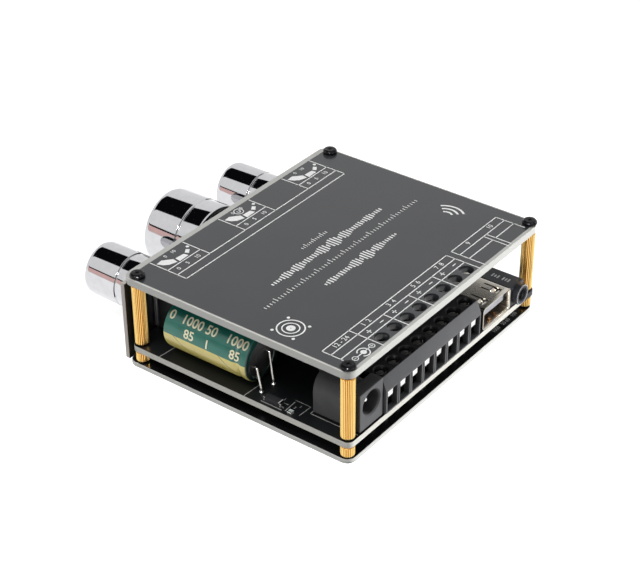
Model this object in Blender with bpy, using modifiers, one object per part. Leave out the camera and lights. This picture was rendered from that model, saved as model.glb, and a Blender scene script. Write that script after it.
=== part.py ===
"""Audio amplifier board.

A circuit board between two acrylic plates on knurled brass standoffs. Three knobs stand
out of a thin front panel. A power socket, a screw terminal block, a USB-A socket and a
3.5 mm audio socket line the rear edge.

Metres, +Z up, +X to the right as seen from the knobs, +Y towards the sockets. The origin
is on the bottom plate's underside, below the middle of the circuit board.
"""
import math

import bmesh
import bpy
from mathutils import Vector

# Fits
SEAT = 0.0003                 # gap between pieces that touch
THREAD_GAP = 0.0003           # radial gap of a screw in its hole
UNION_DEPTH = 0.0002          # how far a joined shape reaches into its carrier
MERGE_DISTANCE = 0.00001

# Stack of plates
BOTTOM_THICKNESS = 0.0012
BOARD_RISE = 0.0034           # bottom plate to board
BOARD_THICKNESS = 0.0016
TOP_RISE = 0.0173             # board to top plate
TOP_THICKNESS = 0.0020
BOARD_DEPTH = 0.0658
PLATE_CORNER = 0.0025
BOARD_CORNER = 0.0017

# Row of sockets along the rear edge, from right to left
ROW_MARGIN_RIGHT = 0.0043
JACK_WIDTH = 0.0090
POLE_PITCH = 0.0050
POLES = 8
BLOCK_TO_USB = 0.0015
USB_WIDTH = 0.0128
SOCKET_WIDTH = 0.0060
ROW_MARGIN_LEFT = 0.0061

# Standoffs and their screws
STANDOFF_RADIUS = 0.0017
STANDOFF_INSET = 0.0019       # axis to the board's edge
FLUTES = 16
FLUTE_DEPTH = 0.00016
STANDOFF_CHAMFER = 0.0003
THREAD_RADIUS = 0.00085
STUD_ENGAGEMENT = 0.0024
SHORT_BORE_DEPTH = 0.0020
PAN_HEAD_RADIUS = 0.0019
PAN_HEAD_HEIGHT = 0.0009
PAN_HEAD_ROUND = 0.0004
TOP_SCREW_ENGAGEMENT = 0.0030
FLAT_HEAD_RADIUS = 0.0017
FLAT_HEAD_RECESS = 0.0001
BOTTOM_SCREW_ENGAGEMENT = 0.0014

# Front panel, potentiometers and knobs
PANEL_THICKNESS = 0.0011
PANEL_CLEARANCE = 0.00095     # panel to the board's front edge
PANEL_PAST_PLATES = 0.0005    # panel's face to the plates' front edges
KNOB_PITCH = 0.02565
KNOB_CENTRE = 0.0003          # middle knob to the board's middle line
POT_WIDTH = 0.0095
POT_BELOW = 0.0065            # shaft axis to foot
POT_ABOVE = 0.0050
POT_DEPTH = 0.0083
POT_PLATE = 0.0010
BUSHING_RADIUS = 0.0035
BUSHING_PAST_NUT = 0.0013
NUT_FLATS = 0.0100
NUT_THICKNESS = 0.0020
SHAFT_RADIUS = 0.0030
SHAFT_NECK_RADIUS = 0.0024
SHAFT_LENGTH = 0.0121         # past the bushing
SHAFT_TAIL = 0.0030           # inside the housing
SHAFT_FLAT = 0.0015           # flat to axis
POT_PIN_PITCH = 0.0025
POT_PIN_FRONT = 0.0026        # housing front to its first row of pins
POT_PIN_ROWS = 0.0040
KNOB_LENGTH = 0.0167
KNOB_CLEARANCE = 0.00125      # nut to knob
SMALL_KNOB_RADIUS = 0.00715
MIDDLE_KNOB_RADIUS = 0.0105
KNOB_WALL = 0.0011
KNOB_HUB_RADIUS = 0.0046
KNOB_HUB_RECESS = 0.0013
KNOB_CAVITY = 0.0050
KNOB_CHAMFER = 0.0009
KNOB_GROOVE_AT = 0.0058       # rear rim to the groove's middle
KNOB_GROOVE_WIDTH = 0.0008
KNOB_GROOVE_DEPTH = 0.0004
KNOB_RIM_ROUND = 0.0003

# Power socket
JACK_DEPTH = 0.0135
JACK_HEIGHT = 0.0104
JACK_SETBACK = 0.0003         # front face to the board's rear edge
JACK_FLANGE = 0.0035
JACK_BARREL_RADIUS = 0.0042
JACK_HOLE_RADIUS = 0.00315
JACK_HOLE_HEIGHT = 0.0061
JACK_HOLE_DEPTH = 0.0100
JACK_PIN_RADIUS = 0.0010
JACK_PIN_SETBACK = 0.0015
JACK_PIN_SEAT = 0.0025
SPRING_THICKNESS = 0.00025
SPRING_WIDTH = 0.0014
SPRING_REACH = 0.0009         # how far the spring stands into the hole
SPRING_SETBACK = 0.0012
SPRING_LENGTH = 0.0083
SPRING_BEND_AT = 0.0029       # spring's front end to its inward bend
SPRING_FOOT = 0.0019          # straight stretch at its rear end
JACK_SIDE_LEG_INSET = 0.0035

# Screw terminal block
BLOCK_DEPTH = 0.0114
BLOCK_HEIGHT = 0.0098
BLOCK_OVERHANG = 0.0004       # front face past the board's rear edge
BLOCK_SLOPE_RUN = 0.0013
BLOCK_SLOPE_RISE = 0.0032
BLOCK_REAR_CHAMFER = 0.0016
WINDOW_WIDTH = 0.0039
WINDOW_SILL = 0.0005
WINDOW_HEIGHT = 0.0056
WINDOW_DEPTH = 0.0072
LEAF_WIDTH = 0.0021
LEAF_THICKNESS = 0.0004
LEAF_SETBACK = 0.0006
LEAF_DROP = 0.0018            # window roof to the leaf's bend
LEAF_RUN = 0.0046
LEAF_FALL = 0.0005
CLAMP_SCREW_SETBACK = 0.0033  # screw axis to the block's front face
CLAMP_HEAD_RADIUS = 0.00145
CLAMP_HEAD_HEIGHT = 0.0017
CLAMP_HEAD_SINK = 0.0011      # block top to screw head
CLAMP_SHANK_RADIUS = 0.0010
CLAMP_SLOT_WIDTH = 0.0005
CLAMP_SLOT_DEPTH = 0.0006
DRIVER_HOLE_RADIUS = 0.00175

# USB-A socket
USB_HEIGHT = 0.0065
USB_DEPTH = 0.0140
USB_WALL = 0.00035
USB_CORNER = 0.0008
USB_FLARE = 0.0002
USB_LIP = 0.0006
USB_TAB_WIDTH = 0.0022
USB_TAB_LENGTH = 0.0052
USB_TAB_SLOT = 0.0005
USB_TAB_SETBACK = 0.0024
USB_TAB_OFFSET = 0.0028       # tab's middle to the socket's middle
USB_LUG_WIDTH = 0.0018
USB_LUG_SETBACK = 0.0058
USB_TONGUE_WIDTH = 0.0104
USB_TONGUE_THICKNESS = 0.0018
USB_TONGUE_SETBACK = 0.0012
USB_ROOF_GAP = 0.0007         # shell's roof to the tongue
USB_BASE_DEPTH = 0.0030
USB_PIN_PITCH = 0.0025

# 3.5 mm audio socket
SOCKET_DEPTH = 0.0129
SOCKET_HEIGHT = 0.0056
SOCKET_CHAMFER = 0.0006
NOZZLE_RADIUS = 0.00275
NOZZLE_LENGTH = 0.0016
NOZZLE_HEIGHT = 0.0030
NOZZLE_BORE = 0.0018
NOZZLE_BORE_DEPTH = 0.0120
SOCKET_FRONT_LEG_SETBACK = 0.0039
SOCKET_REAR_LEG_INSET = 0.0013

# Electrolytic capacitor
CAP_RADIUS = 0.0064
CAP_LENGTH = 0.0256
CAP_FROM_EDGE = 0.00765       # axis to the board's right edge
CAP_FROM_POT = 0.0004         # potentiometer to the can
CAP_ROUND = 0.0007
CAP_CRIMP_AT = 0.0028         # rear end to the crimp
CAP_CRIMP_DEPTH = 0.0005
CAP_SEAL_RECESS = 0.0004
CAP_LEAD_RADIUS = 0.0004
CAP_LEAD_SPREAD = 0.0025      # lead to the can's axis
CAP_LEAD_TILT = 34.0          # degrees, how the pair of leads is turned
CAP_LEAD_RUN = 0.0006         # straight run out of the seal
CAP_LEAD_STEP = 0.0017        # sideways, from the seal to the board
CAP_NEAR_LEAD_REACH = 0.0025  # can to the outer lead's hole
CAP_FAR_LEAD_REACH = 0.0028
CAP_LEAD_FOOT = 0.0009        # upright stretch above the board

# Small flat parts on the board
DIODE_WIDTH = 0.0018
DIODE_DEPTH = 0.0053
DIODE_HEIGHT = 0.0012
DIODE_FROM_EDGE = 0.0023
DIODE_FROM_CAP = 0.0049
LAMP_WIDTH = 0.0016
LAMP_DEPTH = 0.0012
LAMP_HEIGHT = 0.0008
LAMP_FROM_EDGE = 0.0014
LAMP_FROM_JACK = 0.0039
REGULATOR_WIDTH = 0.0045
REGULATOR_HEIGHT = 0.0014
REGULATOR_OFFSET = 0.0025     # from midway between two knobs
RESISTOR_WIDTH = 0.0013
RESISTOR_LENGTH = 0.0020
RESISTOR_HEIGHT = 0.0007
RESISTOR_OFFSET = 0.0035      # the other way
RESISTORS_FROM_USB = 0.0044
RESISTOR_SPACING = 0.0030
FLAT_ROW_FROM_POT = 0.0015    # potentiometers to the row of regulators

# Pieces on the board that the plates hide
HEATSINK_WIDTH = 0.0380
HEATSINK_DEPTH = 0.0220
HEATSINK_BASE = 0.0025
HEATSINK_HEIGHT = 0.0100
HEATSINK_FINS = 9
FIN_THICKNESS = 0.0013
CHIP_WIDTH = 0.0110
CHIP_DEPTH = 0.0062
CHIP_HEIGHT = 0.0012
CHIP_FROM_SINK_END = 0.0100   # chip's middle to the heatsink's end
CHIP_LEADS = 8
CHIP_LEAD_LENGTH = 0.0010
CHIP_LEAD_THICKNESS = 0.00035
CHIP_LEAD_RISE = 0.00012
INDUCTOR_SIZE = 0.0073
INDUCTOR_HEIGHT = 0.0045
INDUCTOR_CORNER = 0.0014
INDUCTOR_PITCH = 0.0100
INDUCTORS = 4
INDUCTOR_FROM_BLOCK = 0.0022
MODULE_WIDTH = 0.0110
MODULE_DEPTH = 0.0170
MODULE_THICKNESS = 0.0009
MODULE_CAN_HEIGHT = 0.0016
MODULE_CAN_RIM = 0.0008
MODULE_AERIAL = 0.0043        # bare end of the module, where its aerial runs
MODULE_FROM_EDGE = 0.0042

# Soldered legs
LEG_WIDTH = 0.0008
LEG_PAST_BOARD = 0.0013

# Sides of round pieces and steps of round corners
PLATE_CORNER_STEPS = 6
BOARD_CORNER_STEPS = 4
USB_CORNER_STEPS = 3
SMALL_CORNER_STEPS = 2
SMALL_SIDES = 10
SCREW_SIDES = 12
HOLE_SIDES = 16
ROUND_SIDES = 20
CAN_SIDES = 26
KNOB_SIDES = 32
SHARP_ANGLE = 35.0            # degrees, above which a shaded edge stays sharp
PARALLEL = 0.99               # cosine, above which an edge counts as along an axis

# Levels and edges that follow from the sizes above
board_low = BOTTOM_THICKNESS + BOARD_RISE
board_top = board_low + BOARD_THICKNESS
plate_low = board_top + TOP_RISE
plate_top = plate_low + TOP_THICKNESS
part_floor = board_top + SEAT
leg_tip = board_low - LEG_PAST_BOARD
thread_hole = THREAD_RADIUS + THREAD_GAP

block_width = POLES * POLE_PITCH
PLATE_WIDTH = (ROW_MARGIN_RIGHT + JACK_WIDTH + SEAT + block_width + BLOCK_TO_USB + USB_WIDTH
               + SEAT + SOCKET_WIDTH + ROW_MARGIN_LEFT)
right_edge = PLATE_WIDTH / 2
rear_edge = BOARD_DEPTH / 2
front_edge = -rear_edge

jack_x = right_edge - ROW_MARGIN_RIGHT - JACK_WIDTH / 2
block_x = jack_x - JACK_WIDTH / 2 - SEAT - block_width / 2
usb_x = block_x - block_width / 2 - BLOCK_TO_USB - USB_WIDTH / 2
socket_x = usb_x - USB_WIDTH / 2 - SEAT - SOCKET_WIDTH / 2
pole_xs = [block_x + (POLES - 1) * POLE_PITCH / 2 - k * POLE_PITCH for k in range(POLES)]

jack_front = rear_edge - JACK_SETBACK
block_front = rear_edge + BLOCK_OVERHANG
clamp_screw_y = block_front - CLAMP_SCREW_SETBACK

panel_inner = front_edge - PANEL_CLEARANCE
panel_outer = panel_inner - PANEL_THICKNESS
plate_front = panel_outer + PANEL_PAST_PLATES
knob_z = part_floor + POT_BELOW
knob_xs = {"right": KNOB_CENTRE + KNOB_PITCH, "middle": KNOB_CENTRE, "left": KNOB_CENTRE - KNOB_PITCH}
knob_radii = {"right": SMALL_KNOB_RADIUS, "middle": MIDDLE_KNOB_RADIUS, "left": SMALL_KNOB_RADIUS}

# Places along a knob's axis, measured forwards from the panel's outer face
pot_face = -PANEL_THICKNESS - SEAT
housing_front = pot_face - POT_PLATE - SEAT
housing_rear = housing_front - POT_DEPTH
nut_front = SEAT + NUT_THICKNESS
bushing_end = nut_front + BUSHING_PAST_NUT
shaft_shoulder = bushing_end + SEAT
shaft_end = shaft_shoulder + SHAFT_LENGTH
knob_rim = nut_front + KNOB_CLEARANCE
hub_rear = knob_rim + KNOB_HUB_RECESS
flat_start = hub_rear - SEAT

cap_axis = (right_edge - CAP_FROM_EDGE, part_floor + CAP_RADIUS)
cap_front = panel_outer - housing_rear + CAP_FROM_POT
cap_rear = cap_front + CAP_LENGTH

corner_places = [(x * (right_edge - STANDOFF_INSET), y * (rear_edge - STANDOFF_INSET))
                 for x, y in ((1, -1), (1, 1), (-1, 1), (-1, -1))]

for old in list(bpy.data.objects):
    bpy.data.objects.remove(old, do_unlink=True)

pieces = bpy.data.collections.new("audio_amplifier_board")
tools = bpy.data.collections.new("cutters")
for group in (pieces, tools):
    bpy.context.scene.collection.children.link(group)


def finish(name, colour, roughness, metallic=0.0):
    """A material with one plain Principled shader."""
    material = bpy.data.materials.new(name)
    material.use_nodes = True
    shader = material.node_tree.nodes["Principled BSDF"]
    shader.inputs["Base Color"].default_value = (*colour, 1.0)
    shader.inputs["Roughness"].default_value = roughness
    shader.inputs["Metallic"].default_value = metallic
    return material


PRINTED_PLATE = finish("printed_plate", (0.10, 0.11, 0.12), 0.25)
BASE_PLATE = finish("base_plate", (0.015, 0.015, 0.017), 0.3)
BOARD_MASK = finish("board_mask", (0.012, 0.013, 0.015), 0.4)
PANEL_SHEET = finish("panel_sheet", (0.02, 0.02, 0.022), 0.35)
BRASS = finish("brass", (0.72, 0.43, 0.11), 0.35, 1.0)
BLACK_STEEL = finish("black_steel", (0.03, 0.03, 0.032), 0.35, 0.6)
CHROME = finish("chrome", (0.75, 0.75, 0.77), 0.1, 1.0)
STEEL = finish("steel", (0.55, 0.55, 0.54), 0.3, 1.0)
ZINC = finish("zinc", (0.5, 0.5, 0.52), 0.4, 1.0)
BLACK_PLASTIC = finish("black_plastic", (0.018, 0.018, 0.02), 0.45)
GREY_PLASTIC = finish("grey_plastic", (0.35, 0.35, 0.37), 0.5)
GREEN_SLEEVE = finish("green_sleeve", (0.02, 0.16, 0.12), 0.35)
ANODISED = finish("black_anodised", (0.02, 0.02, 0.022), 0.45, 0.7)
FERRITE = finish("ferrite", (0.06, 0.06, 0.065), 0.6)
MODULE_MASK = finish("module_mask", (0.02, 0.05, 0.12), 0.4)


def put(name, mesh, group, at, turn):
    """Places a mesh as an object of its own."""
    thing = bpy.data.objects.new(name, mesh)
    thing.location = at
    thing.rotation_euler = [math.radians(angle) for angle in turn]
    group.objects.link(thing)
    return thing


def made_mesh(bm, name, smooth):
    bmesh.ops.recalc_face_normals(bm, faces=bm.faces)
    mesh = bpy.data.meshes.new(name)
    bm.to_mesh(mesh)
    bm.free()
    if smooth:
        mesh.shade_smooth()
        mesh.set_sharp_from_angle(angle=math.radians(SHARP_ANGLE))
    return mesh


def piece(name, bm, material, at=(0, 0, 0), turn=(0, 0, 0), smooth=False):
    """One sub-part from a bmesh, with its finish."""
    thing = put(name, made_mesh(bm, name, smooth), pieces, at, turn)
    thing.data.materials.append(material)
    return thing


def apply_tool(thing, bm, operation, at=(0, 0, 0), turn=(0, 0, 0), smooth=False):
    """Cuts a shape out of a piece, or joins it on, with a guide object."""
    name = f"{thing.name}_{operation.lower()}_{len(thing.modifiers)}"
    tool = put(name, made_mesh(bm, name, smooth), tools, at, turn)
    tool.hide_render = True
    tool.display_type = "WIRE"
    change = thing.modifiers.new(name, "BOOLEAN")
    change.operation = operation
    change.solver = "EXACT"
    change.object = tool


def cut(thing, bm, **place):
    apply_tool(thing, bm, "DIFFERENCE", **place)


def join(thing, bm, **place):
    apply_tool(thing, bm, "UNION", **place)


def add_box(bm, low, high):
    """Adds a box between two corners to a bmesh."""
    low, high = Vector(low), Vector(high)
    made = bmesh.ops.create_cube(bm, size=1.0)["verts"]
    bmesh.ops.scale(bm, vec=high - low, verts=made)
    bmesh.ops.translate(bm, vec=(low + high) / 2, verts=made)
    return made


def boxes(*corner_pairs):
    bm = bmesh.new()
    for low, high in corner_pairs:
        add_box(bm, low, high)
    return bm


def add_rod(bm, x, y, low, high, radius, sides, end_radius=None):
    """Adds an upright rod or cone to a bmesh."""
    made = bmesh.ops.create_cone(bm, cap_ends=True, segments=sides, radius1=radius,
                                 radius2=radius if end_radius is None else end_radius,
                                 depth=high - low)["verts"]
    bmesh.ops.translate(bm, vec=(x, y, (low + high) / 2), verts=made)


def rods(places, low, high, radius, sides, end_radius=None):
    bm = bmesh.new()
    for x, y in places:
        add_rod(bm, x, y, low, high, radius, sides, end_radius)
    return bm


def prism(outline, low, high, axis="Z", bm=None):
    """A flat outline drawn out along an axis, from low to high."""
    bm = bmesh.new() if bm is None else bm
    spots = {"Z": lambda u, v: (u, v, low), "X": lambda u, v: (low, u, v)}[axis]
    face = bm.faces.new([bm.verts.new(spots(u, v)) for u, v in outline])
    drawn = bmesh.ops.extrude_face_region(bm, geom=[face])["geom"]
    along = (high - low) * Vector((0, 0, 1) if axis == "Z" else (1, 0, 0))
    bmesh.ops.translate(bm, vec=along, verts=[v for v in drawn if isinstance(v, bmesh.types.BMVert)])
    return bm


def soften(bm, axis, width, segments, keep=lambda middle: True):
    """Rounds or chamfers the edges of a shape that run along one axis."""
    chosen = []
    for edge in bm.edges:
        run = (edge.verts[1].co - edge.verts[0].co).normalized()
        if abs(run[axis]) > PARALLEL and keep((edge.verts[0].co + edge.verts[1].co) / 2):
            chosen.append(edge)
    bmesh.ops.bevel(bm, geom=chosen, offset=width, segments=segments, affect="EDGES", profile=0.5,
                    material=-1)
    return bm


def turned(name, profile, sides, material, at, turn=(0, 0, 0), closed=False):
    """A piece of revolution about its own Z. The profile runs down its outer side."""
    mesh = bpy.data.meshes.new(name)
    count = len(profile)
    edges = [(k, k + 1) for k in range(count - 1)]
    if closed:
        edges.append((count - 1, 0))
    mesh.from_pydata([(r, 0.0, z) for r, z in profile], edges, [])
    thing = put(name, mesh, pieces, at, turn)
    thing.data.materials.append(material)
    spin = thing.modifiers.new("turn", "SCREW")
    spin.axis = "Z"
    spin.angle = math.tau
    spin.steps = sides
    spin.render_steps = sides
    spin.use_merge_vertices = True
    spin.merge_threshold = MERGE_DISTANCE
    spin.use_smooth_shade = False
    return thing


def wire(points, radius):
    """A round wire through the points, as a bmesh with welded caps."""
    curve = bpy.data.curves.new("wire", "CURVE")
    curve.dimensions = "3D"
    curve.bevel_depth = radius
    curve.bevel_resolution = 1
    curve.use_fill_caps = True
    spline = curve.splines.new("POLY")
    spline.points.add(len(points) - 1)
    for spot, place in zip(spline.points, points):
        spot.co = (*place, 1.0)
    guide = bpy.data.objects.new("wire", curve)
    tools.objects.link(guide)
    bpy.context.view_layer.update()
    depsgraph = bpy.context.evaluated_depsgraph_get()
    mesh = bpy.data.meshes.new_from_object(guide.evaluated_get(depsgraph))
    bm = bmesh.new()
    bm.from_mesh(mesh)
    bmesh.ops.remove_doubles(bm, verts=bm.verts, dist=MERGE_DISTANCE)
    bpy.data.objects.remove(guide, do_unlink=True)
    return bm


def leg_boxes(places, top, half=LEG_WIDTH / 2, tip=leg_tip):
    """Upright square legs that reach down through the board."""
    return boxes(*[((x - half, y - half, tip), (x + half, y + half, top)) for x, y in places])


def centred_row(middle, pitch, count):
    return [middle + (k - (count - 1) / 2) * pitch for k in range(count)]


# Legs of each soldered piece, as places on the board
pot_leg_rows = [panel_outer - housing_front + POT_PIN_FRONT + k * POT_PIN_ROWS for k in range(2)]
pot_legs = {side: [(x, y) for y in pot_leg_rows for x in centred_row(middle, POT_PIN_PITCH, 3)]
            for side, middle in knob_xs.items()}
block_legs = [(x, block_front - BLOCK_DEPTH / 2) for x in pole_xs]
jack_legs = [(jack_x, jack_front - JACK_DEPTH + LEG_WIDTH), (jack_x, jack_front - JACK_DEPTH / 2),
             (jack_x - JACK_BARREL_RADIUS + LEG_WIDTH, jack_front - JACK_DEPTH + JACK_SIDE_LEG_INSET)]
usb_legs = [(x, rear_edge - USB_DEPTH + USB_WALL + SEAT + USB_BASE_DEPTH / 2)
            for x in centred_row(usb_x, USB_PIN_PITCH, 4)]
usb_half = USB_WIDTH / 2 - USB_FLARE
usb_lugs = [(usb_x + side * (usb_half - USB_WALL / 2), rear_edge - USB_LUG_SETBACK) for side in (-1, 1)]
socket_legs = [(socket_x + side * (SOCKET_WIDTH / 2 - LEG_WIDTH), rear_edge - SOCKET_FRONT_LEG_SETBACK)
               for side in (-1, 1)] + [(socket_x, rear_edge - SOCKET_DEPTH + SOCKET_REAR_LEG_INSET)]
lead_turn = math.radians(CAP_LEAD_TILT)
lead_shift = (CAP_LEAD_SPREAD * math.cos(lead_turn), CAP_LEAD_SPREAD * math.sin(lead_turn))
cap_leads = [(cap_axis[0] + lead_shift[0] + CAP_LEAD_STEP, cap_rear + CAP_NEAR_LEAD_REACH),
             (cap_axis[0] - lead_shift[0] + CAP_LEAD_STEP, cap_rear + CAP_FAR_LEAD_REACH)]


def acrylic_plates():
    """The printed top plate and the thin base plate, with their screw holes."""
    def plate(name, low, thickness, material):
        low_corner = (-right_edge, plate_front, low)
        high_corner = (right_edge, rear_edge, low + thickness)
        outline = soften(boxes((low_corner, high_corner)), 2, PLATE_CORNER, PLATE_CORNER_STEPS)
        return piece(name, outline, material)

    over = SEAT
    top = plate("top_plate", plate_low, TOP_THICKNESS, PRINTED_PLATE)
    cut(top, rods(corner_places, plate_low - over, plate_top + over, thread_hole, SMALL_SIDES))
    driver_places = [(x, clamp_screw_y) for x in pole_xs]
    cut(top, rods(driver_places, plate_low - over, plate_top + over, DRIVER_HOLE_RADIUS, HOLE_SIDES))

    bottom = plate("bottom_plate", 0.0, BOTTOM_THICKNESS, BASE_PLATE)
    cut(bottom, rods(corner_places, -over, BOTTOM_THICKNESS + over, thread_hole, SMALL_SIDES))
    mouth = FLAT_HEAD_RADIUS + FLAT_HEAD_RECESS + THREAD_GAP
    cut(bottom, rods(corner_places, -over, mouth - thread_hole, mouth + over, SMALL_SIDES, thread_hole))


def front_panel():
    """The thin panel that the potentiometers' nuts clamp."""
    low = BOTTOM_THICKNESS + SEAT
    high = plate_low - SEAT
    sheet = piece("front_panel", boxes(((-right_edge, panel_outer, low), (right_edge, panel_inner, high))),
                  PANEL_SHEET)
    holes = rods([(x, knob_z) for x in knob_xs.values()], -PANEL_THICKNESS - SEAT, SEAT,
                 BUSHING_RADIUS + THREAD_GAP, ROUND_SIDES)
    cut(sheet, holes, at=(0, panel_outer, 0), turn=(90, 0, 0))


def main_board():
    """The circuit board, drilled for every leg, with its small flat parts soldered on."""
    low_corner = (-right_edge, front_edge, board_low)
    high_corner = (right_edge, rear_edge, board_top)
    outline = soften(boxes((low_corner, high_corner)), 2, BOARD_CORNER, BOARD_CORNER_STEPS)
    board = piece("main_board", outline, BOARD_MASK)
    cut(board, rods(corner_places, board_low - SEAT, board_top + SEAT, thread_hole, SMALL_SIDES))

    legs = [spot for row in pot_legs.values() for spot in row]
    legs += block_legs + jack_legs + usb_legs + socket_legs
    hole = LEG_WIDTH / 2 + SEAT
    slots = leg_boxes(legs, board_top + SEAT, hole, board_low - SEAT)
    lead_hole = CAP_LEAD_RADIUS + SEAT
    for x, y in cap_leads:
        add_box(slots, (x - lead_hole, y - lead_hole, board_low - SEAT),
                (x + lead_hole, y + lead_hole, board_top + SEAT))
    lug_x, lug_y = USB_WALL / 2 + SEAT, USB_LUG_WIDTH / 2 + SEAT
    for x, y in usb_lugs:
        add_box(slots, (x - lug_x, y - lug_y, board_low - SEAT), (x + lug_x, y + lug_y, board_top + SEAT))
    cut(board, slots)

    soldered = bmesh.new()
    for (x, y), (wide, deep, high) in flat_parts():
        add_box(soldered, (x - wide / 2, y - deep / 2, board_top - UNION_DEPTH),
                (x + wide / 2, y + deep / 2, board_top + high))
    join(board, soldered)


def flat_parts():
    """The place and the size of each small part that is soldered flat on the board."""
    diode = (DIODE_WIDTH, DIODE_DEPTH, DIODE_HEIGHT)
    lamp = (LAMP_WIDTH, LAMP_DEPTH, LAMP_HEIGHT)
    regulator = (REGULATOR_WIDTH, REGULATOR_WIDTH, REGULATOR_HEIGHT)
    across = (RESISTOR_LENGTH, RESISTOR_WIDTH, RESISTOR_HEIGHT)
    along = (RESISTOR_WIDTH, RESISTOR_LENGTH, RESISTOR_HEIGHT)
    parts = [((right_edge - DIODE_FROM_EDGE, cap_rear + DIODE_FROM_CAP + DIODE_DEPTH / 2), diode),
             ((right_edge - LAMP_FROM_EDGE, jack_front - JACK_DEPTH - LAMP_FROM_JACK), lamp)]
    row_y = panel_outer - housing_rear + FLAT_ROW_FROM_POT + REGULATOR_WIDTH / 2
    for side in (1, -1):
        middle = KNOB_CENTRE + side * KNOB_PITCH / 2
        parts += [((middle + side * REGULATOR_OFFSET, row_y), regulator),
                  ((middle - side * RESISTOR_OFFSET, row_y), across)]
    beside_usb = rear_edge - USB_DEPTH - RESISTORS_FROM_USB
    parts += [((x, beside_usb), along) for x in centred_row(usb_x, RESISTOR_SPACING, 2)]
    return parts


def knurled(radius, length):
    """An upright rod with straight flutes and chamfered ends."""
    bm = rods([(0, 0)], 0, length, radius, 2 * FLUTES)
    for level in (STANDOFF_CHAMFER, length - STANDOFF_CHAMFER):
        bmesh.ops.bisect_plane(bm, geom=bm.verts[:] + bm.edges[:] + bm.faces[:],
                               dist=MERGE_DISTANCE / 10, plane_co=(0, 0, level), plane_no=(0, 0, 1))
    for vert in bm.verts:
        step = round(math.atan2(vert.co.y, vert.co.x) * FLUTES / math.pi)
        at_end = min(vert.co.z, length - vert.co.z) < STANDOFF_CHAMFER / 2
        reach = radius - STANDOFF_CHAMFER if at_end else radius - FLUTE_DEPTH * (step % 2)
        vert.co.xy = vert.co.xy.normalized() * reach
    return bm


def standoffs():
    """A tall and a short standoff at each corner. The short one's stud joins the two."""
    tall = TOP_RISE - 2 * SEAT
    short = BOARD_RISE - 2 * SEAT
    stud = short + SEAT + BOARD_THICKNESS + SEAT + STUD_ENGAGEMENT
    for k, (x, y) in enumerate(corner_places, 1):
        upper = piece(f"tall_standoff_{k}", knurled(STANDOFF_RADIUS, tall), BRASS,
                      (x, y, board_top + SEAT))
        cut(upper, rods([(x, y)], board_top, plate_low, thread_hole, SMALL_SIDES))
        floor = BOTTOM_THICKNESS + SEAT
        lower = piece(f"short_standoff_{k}", knurled(STANDOFF_RADIUS, short), BRASS, (x, y, floor))
        join(lower, rods([(x, y)], floor + SHORT_BORE_DEPTH + UNION_DEPTH, floor + stud, THREAD_RADIUS,
                         SMALL_SIDES))
        cut(lower, rods([(x, y)], floor - SEAT, floor + SHORT_BORE_DEPTH, thread_hole, SMALL_SIDES))


def plate_screws():
    """Pan-head screws on top and flush countersunk ones below."""
    seat_z = plate_top + SEAT
    tip = -(SEAT + TOP_THICKNESS + SEAT + TOP_SCREW_ENGAGEMENT)
    pan = [(0, PAN_HEAD_HEIGHT), (PAN_HEAD_RADIUS - 2 * PAN_HEAD_ROUND, PAN_HEAD_HEIGHT),
           (PAN_HEAD_RADIUS, PAN_HEAD_HEIGHT - PAN_HEAD_ROUND), (PAN_HEAD_RADIUS, 0), (THREAD_RADIUS, 0),
           (THREAD_RADIUS, tip + PAN_HEAD_ROUND), (THREAD_RADIUS - PAN_HEAD_ROUND, tip), (0, tip)]
    head_depth = FLAT_HEAD_RADIUS - THREAD_RADIUS
    reach = BOTTOM_THICKNESS + SEAT - FLAT_HEAD_RECESS + BOTTOM_SCREW_ENGAGEMENT
    flat = [(0, reach), (THREAD_RADIUS, reach), (THREAD_RADIUS, head_depth), (FLAT_HEAD_RADIUS, 0), (0, 0)]
    for k, (x, y) in enumerate(corner_places, 1):
        turned(f"top_screw_{k}", pan, SCREW_SIDES, BLACK_STEEL, (x, y, seat_z))
        turned(f"bottom_screw_{k}", flat, SCREW_SIDES, BLACK_STEEL, (x, y, FLAT_HEAD_RECESS))


def knob(name, radius, place):
    """A hollow turned knob with a ring groove and a hub that grips the shaft's flat."""
    face = knob_rim + KNOB_LENGTH
    groove = knob_rim + KNOB_GROOVE_AT
    half = KNOB_GROOVE_WIDTH / 2
    ceiling = knob_rim + KNOB_CAVITY
    profile = [(0, face), (radius - KNOB_CHAMFER, face), (radius, face - KNOB_CHAMFER),
               (radius, groove + half), (radius - KNOB_GROOVE_DEPTH, groove + half / 2),
               (radius - KNOB_GROOVE_DEPTH, groove - half / 2), (radius, groove - half),
               (radius, knob_rim + KNOB_RIM_ROUND), (radius - KNOB_RIM_ROUND, knob_rim),
               (radius - KNOB_WALL, knob_rim), (radius - KNOB_WALL, ceiling),
               (KNOB_HUB_RADIUS, ceiling), (KNOB_HUB_RADIUS, hub_rear), (0, hub_rear)]
    body = turned(name, profile, KNOB_SIDES, CHROME, place, (90, 0, 0))
    cut(body, flatted_rod(SHAFT_RADIUS + SEAT, SHAFT_FLAT + SEAT, hub_rear - SEAT, shaft_end + SEAT),
        at=place, turn=(90, 0, 0))


def flatted_rod(radius, flat, low, high):
    """A rod with one flat along its whole length, on the side of local +Y."""
    start = math.asin(flat / radius)
    sweep = math.pi + 2 * start
    outline = [(radius * math.cos(start - sweep * k / ROUND_SIDES),
                radius * math.sin(start - sweep * k / ROUND_SIDES)) for k in range(ROUND_SIDES + 1)]
    return prism(outline, low, high)


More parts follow.
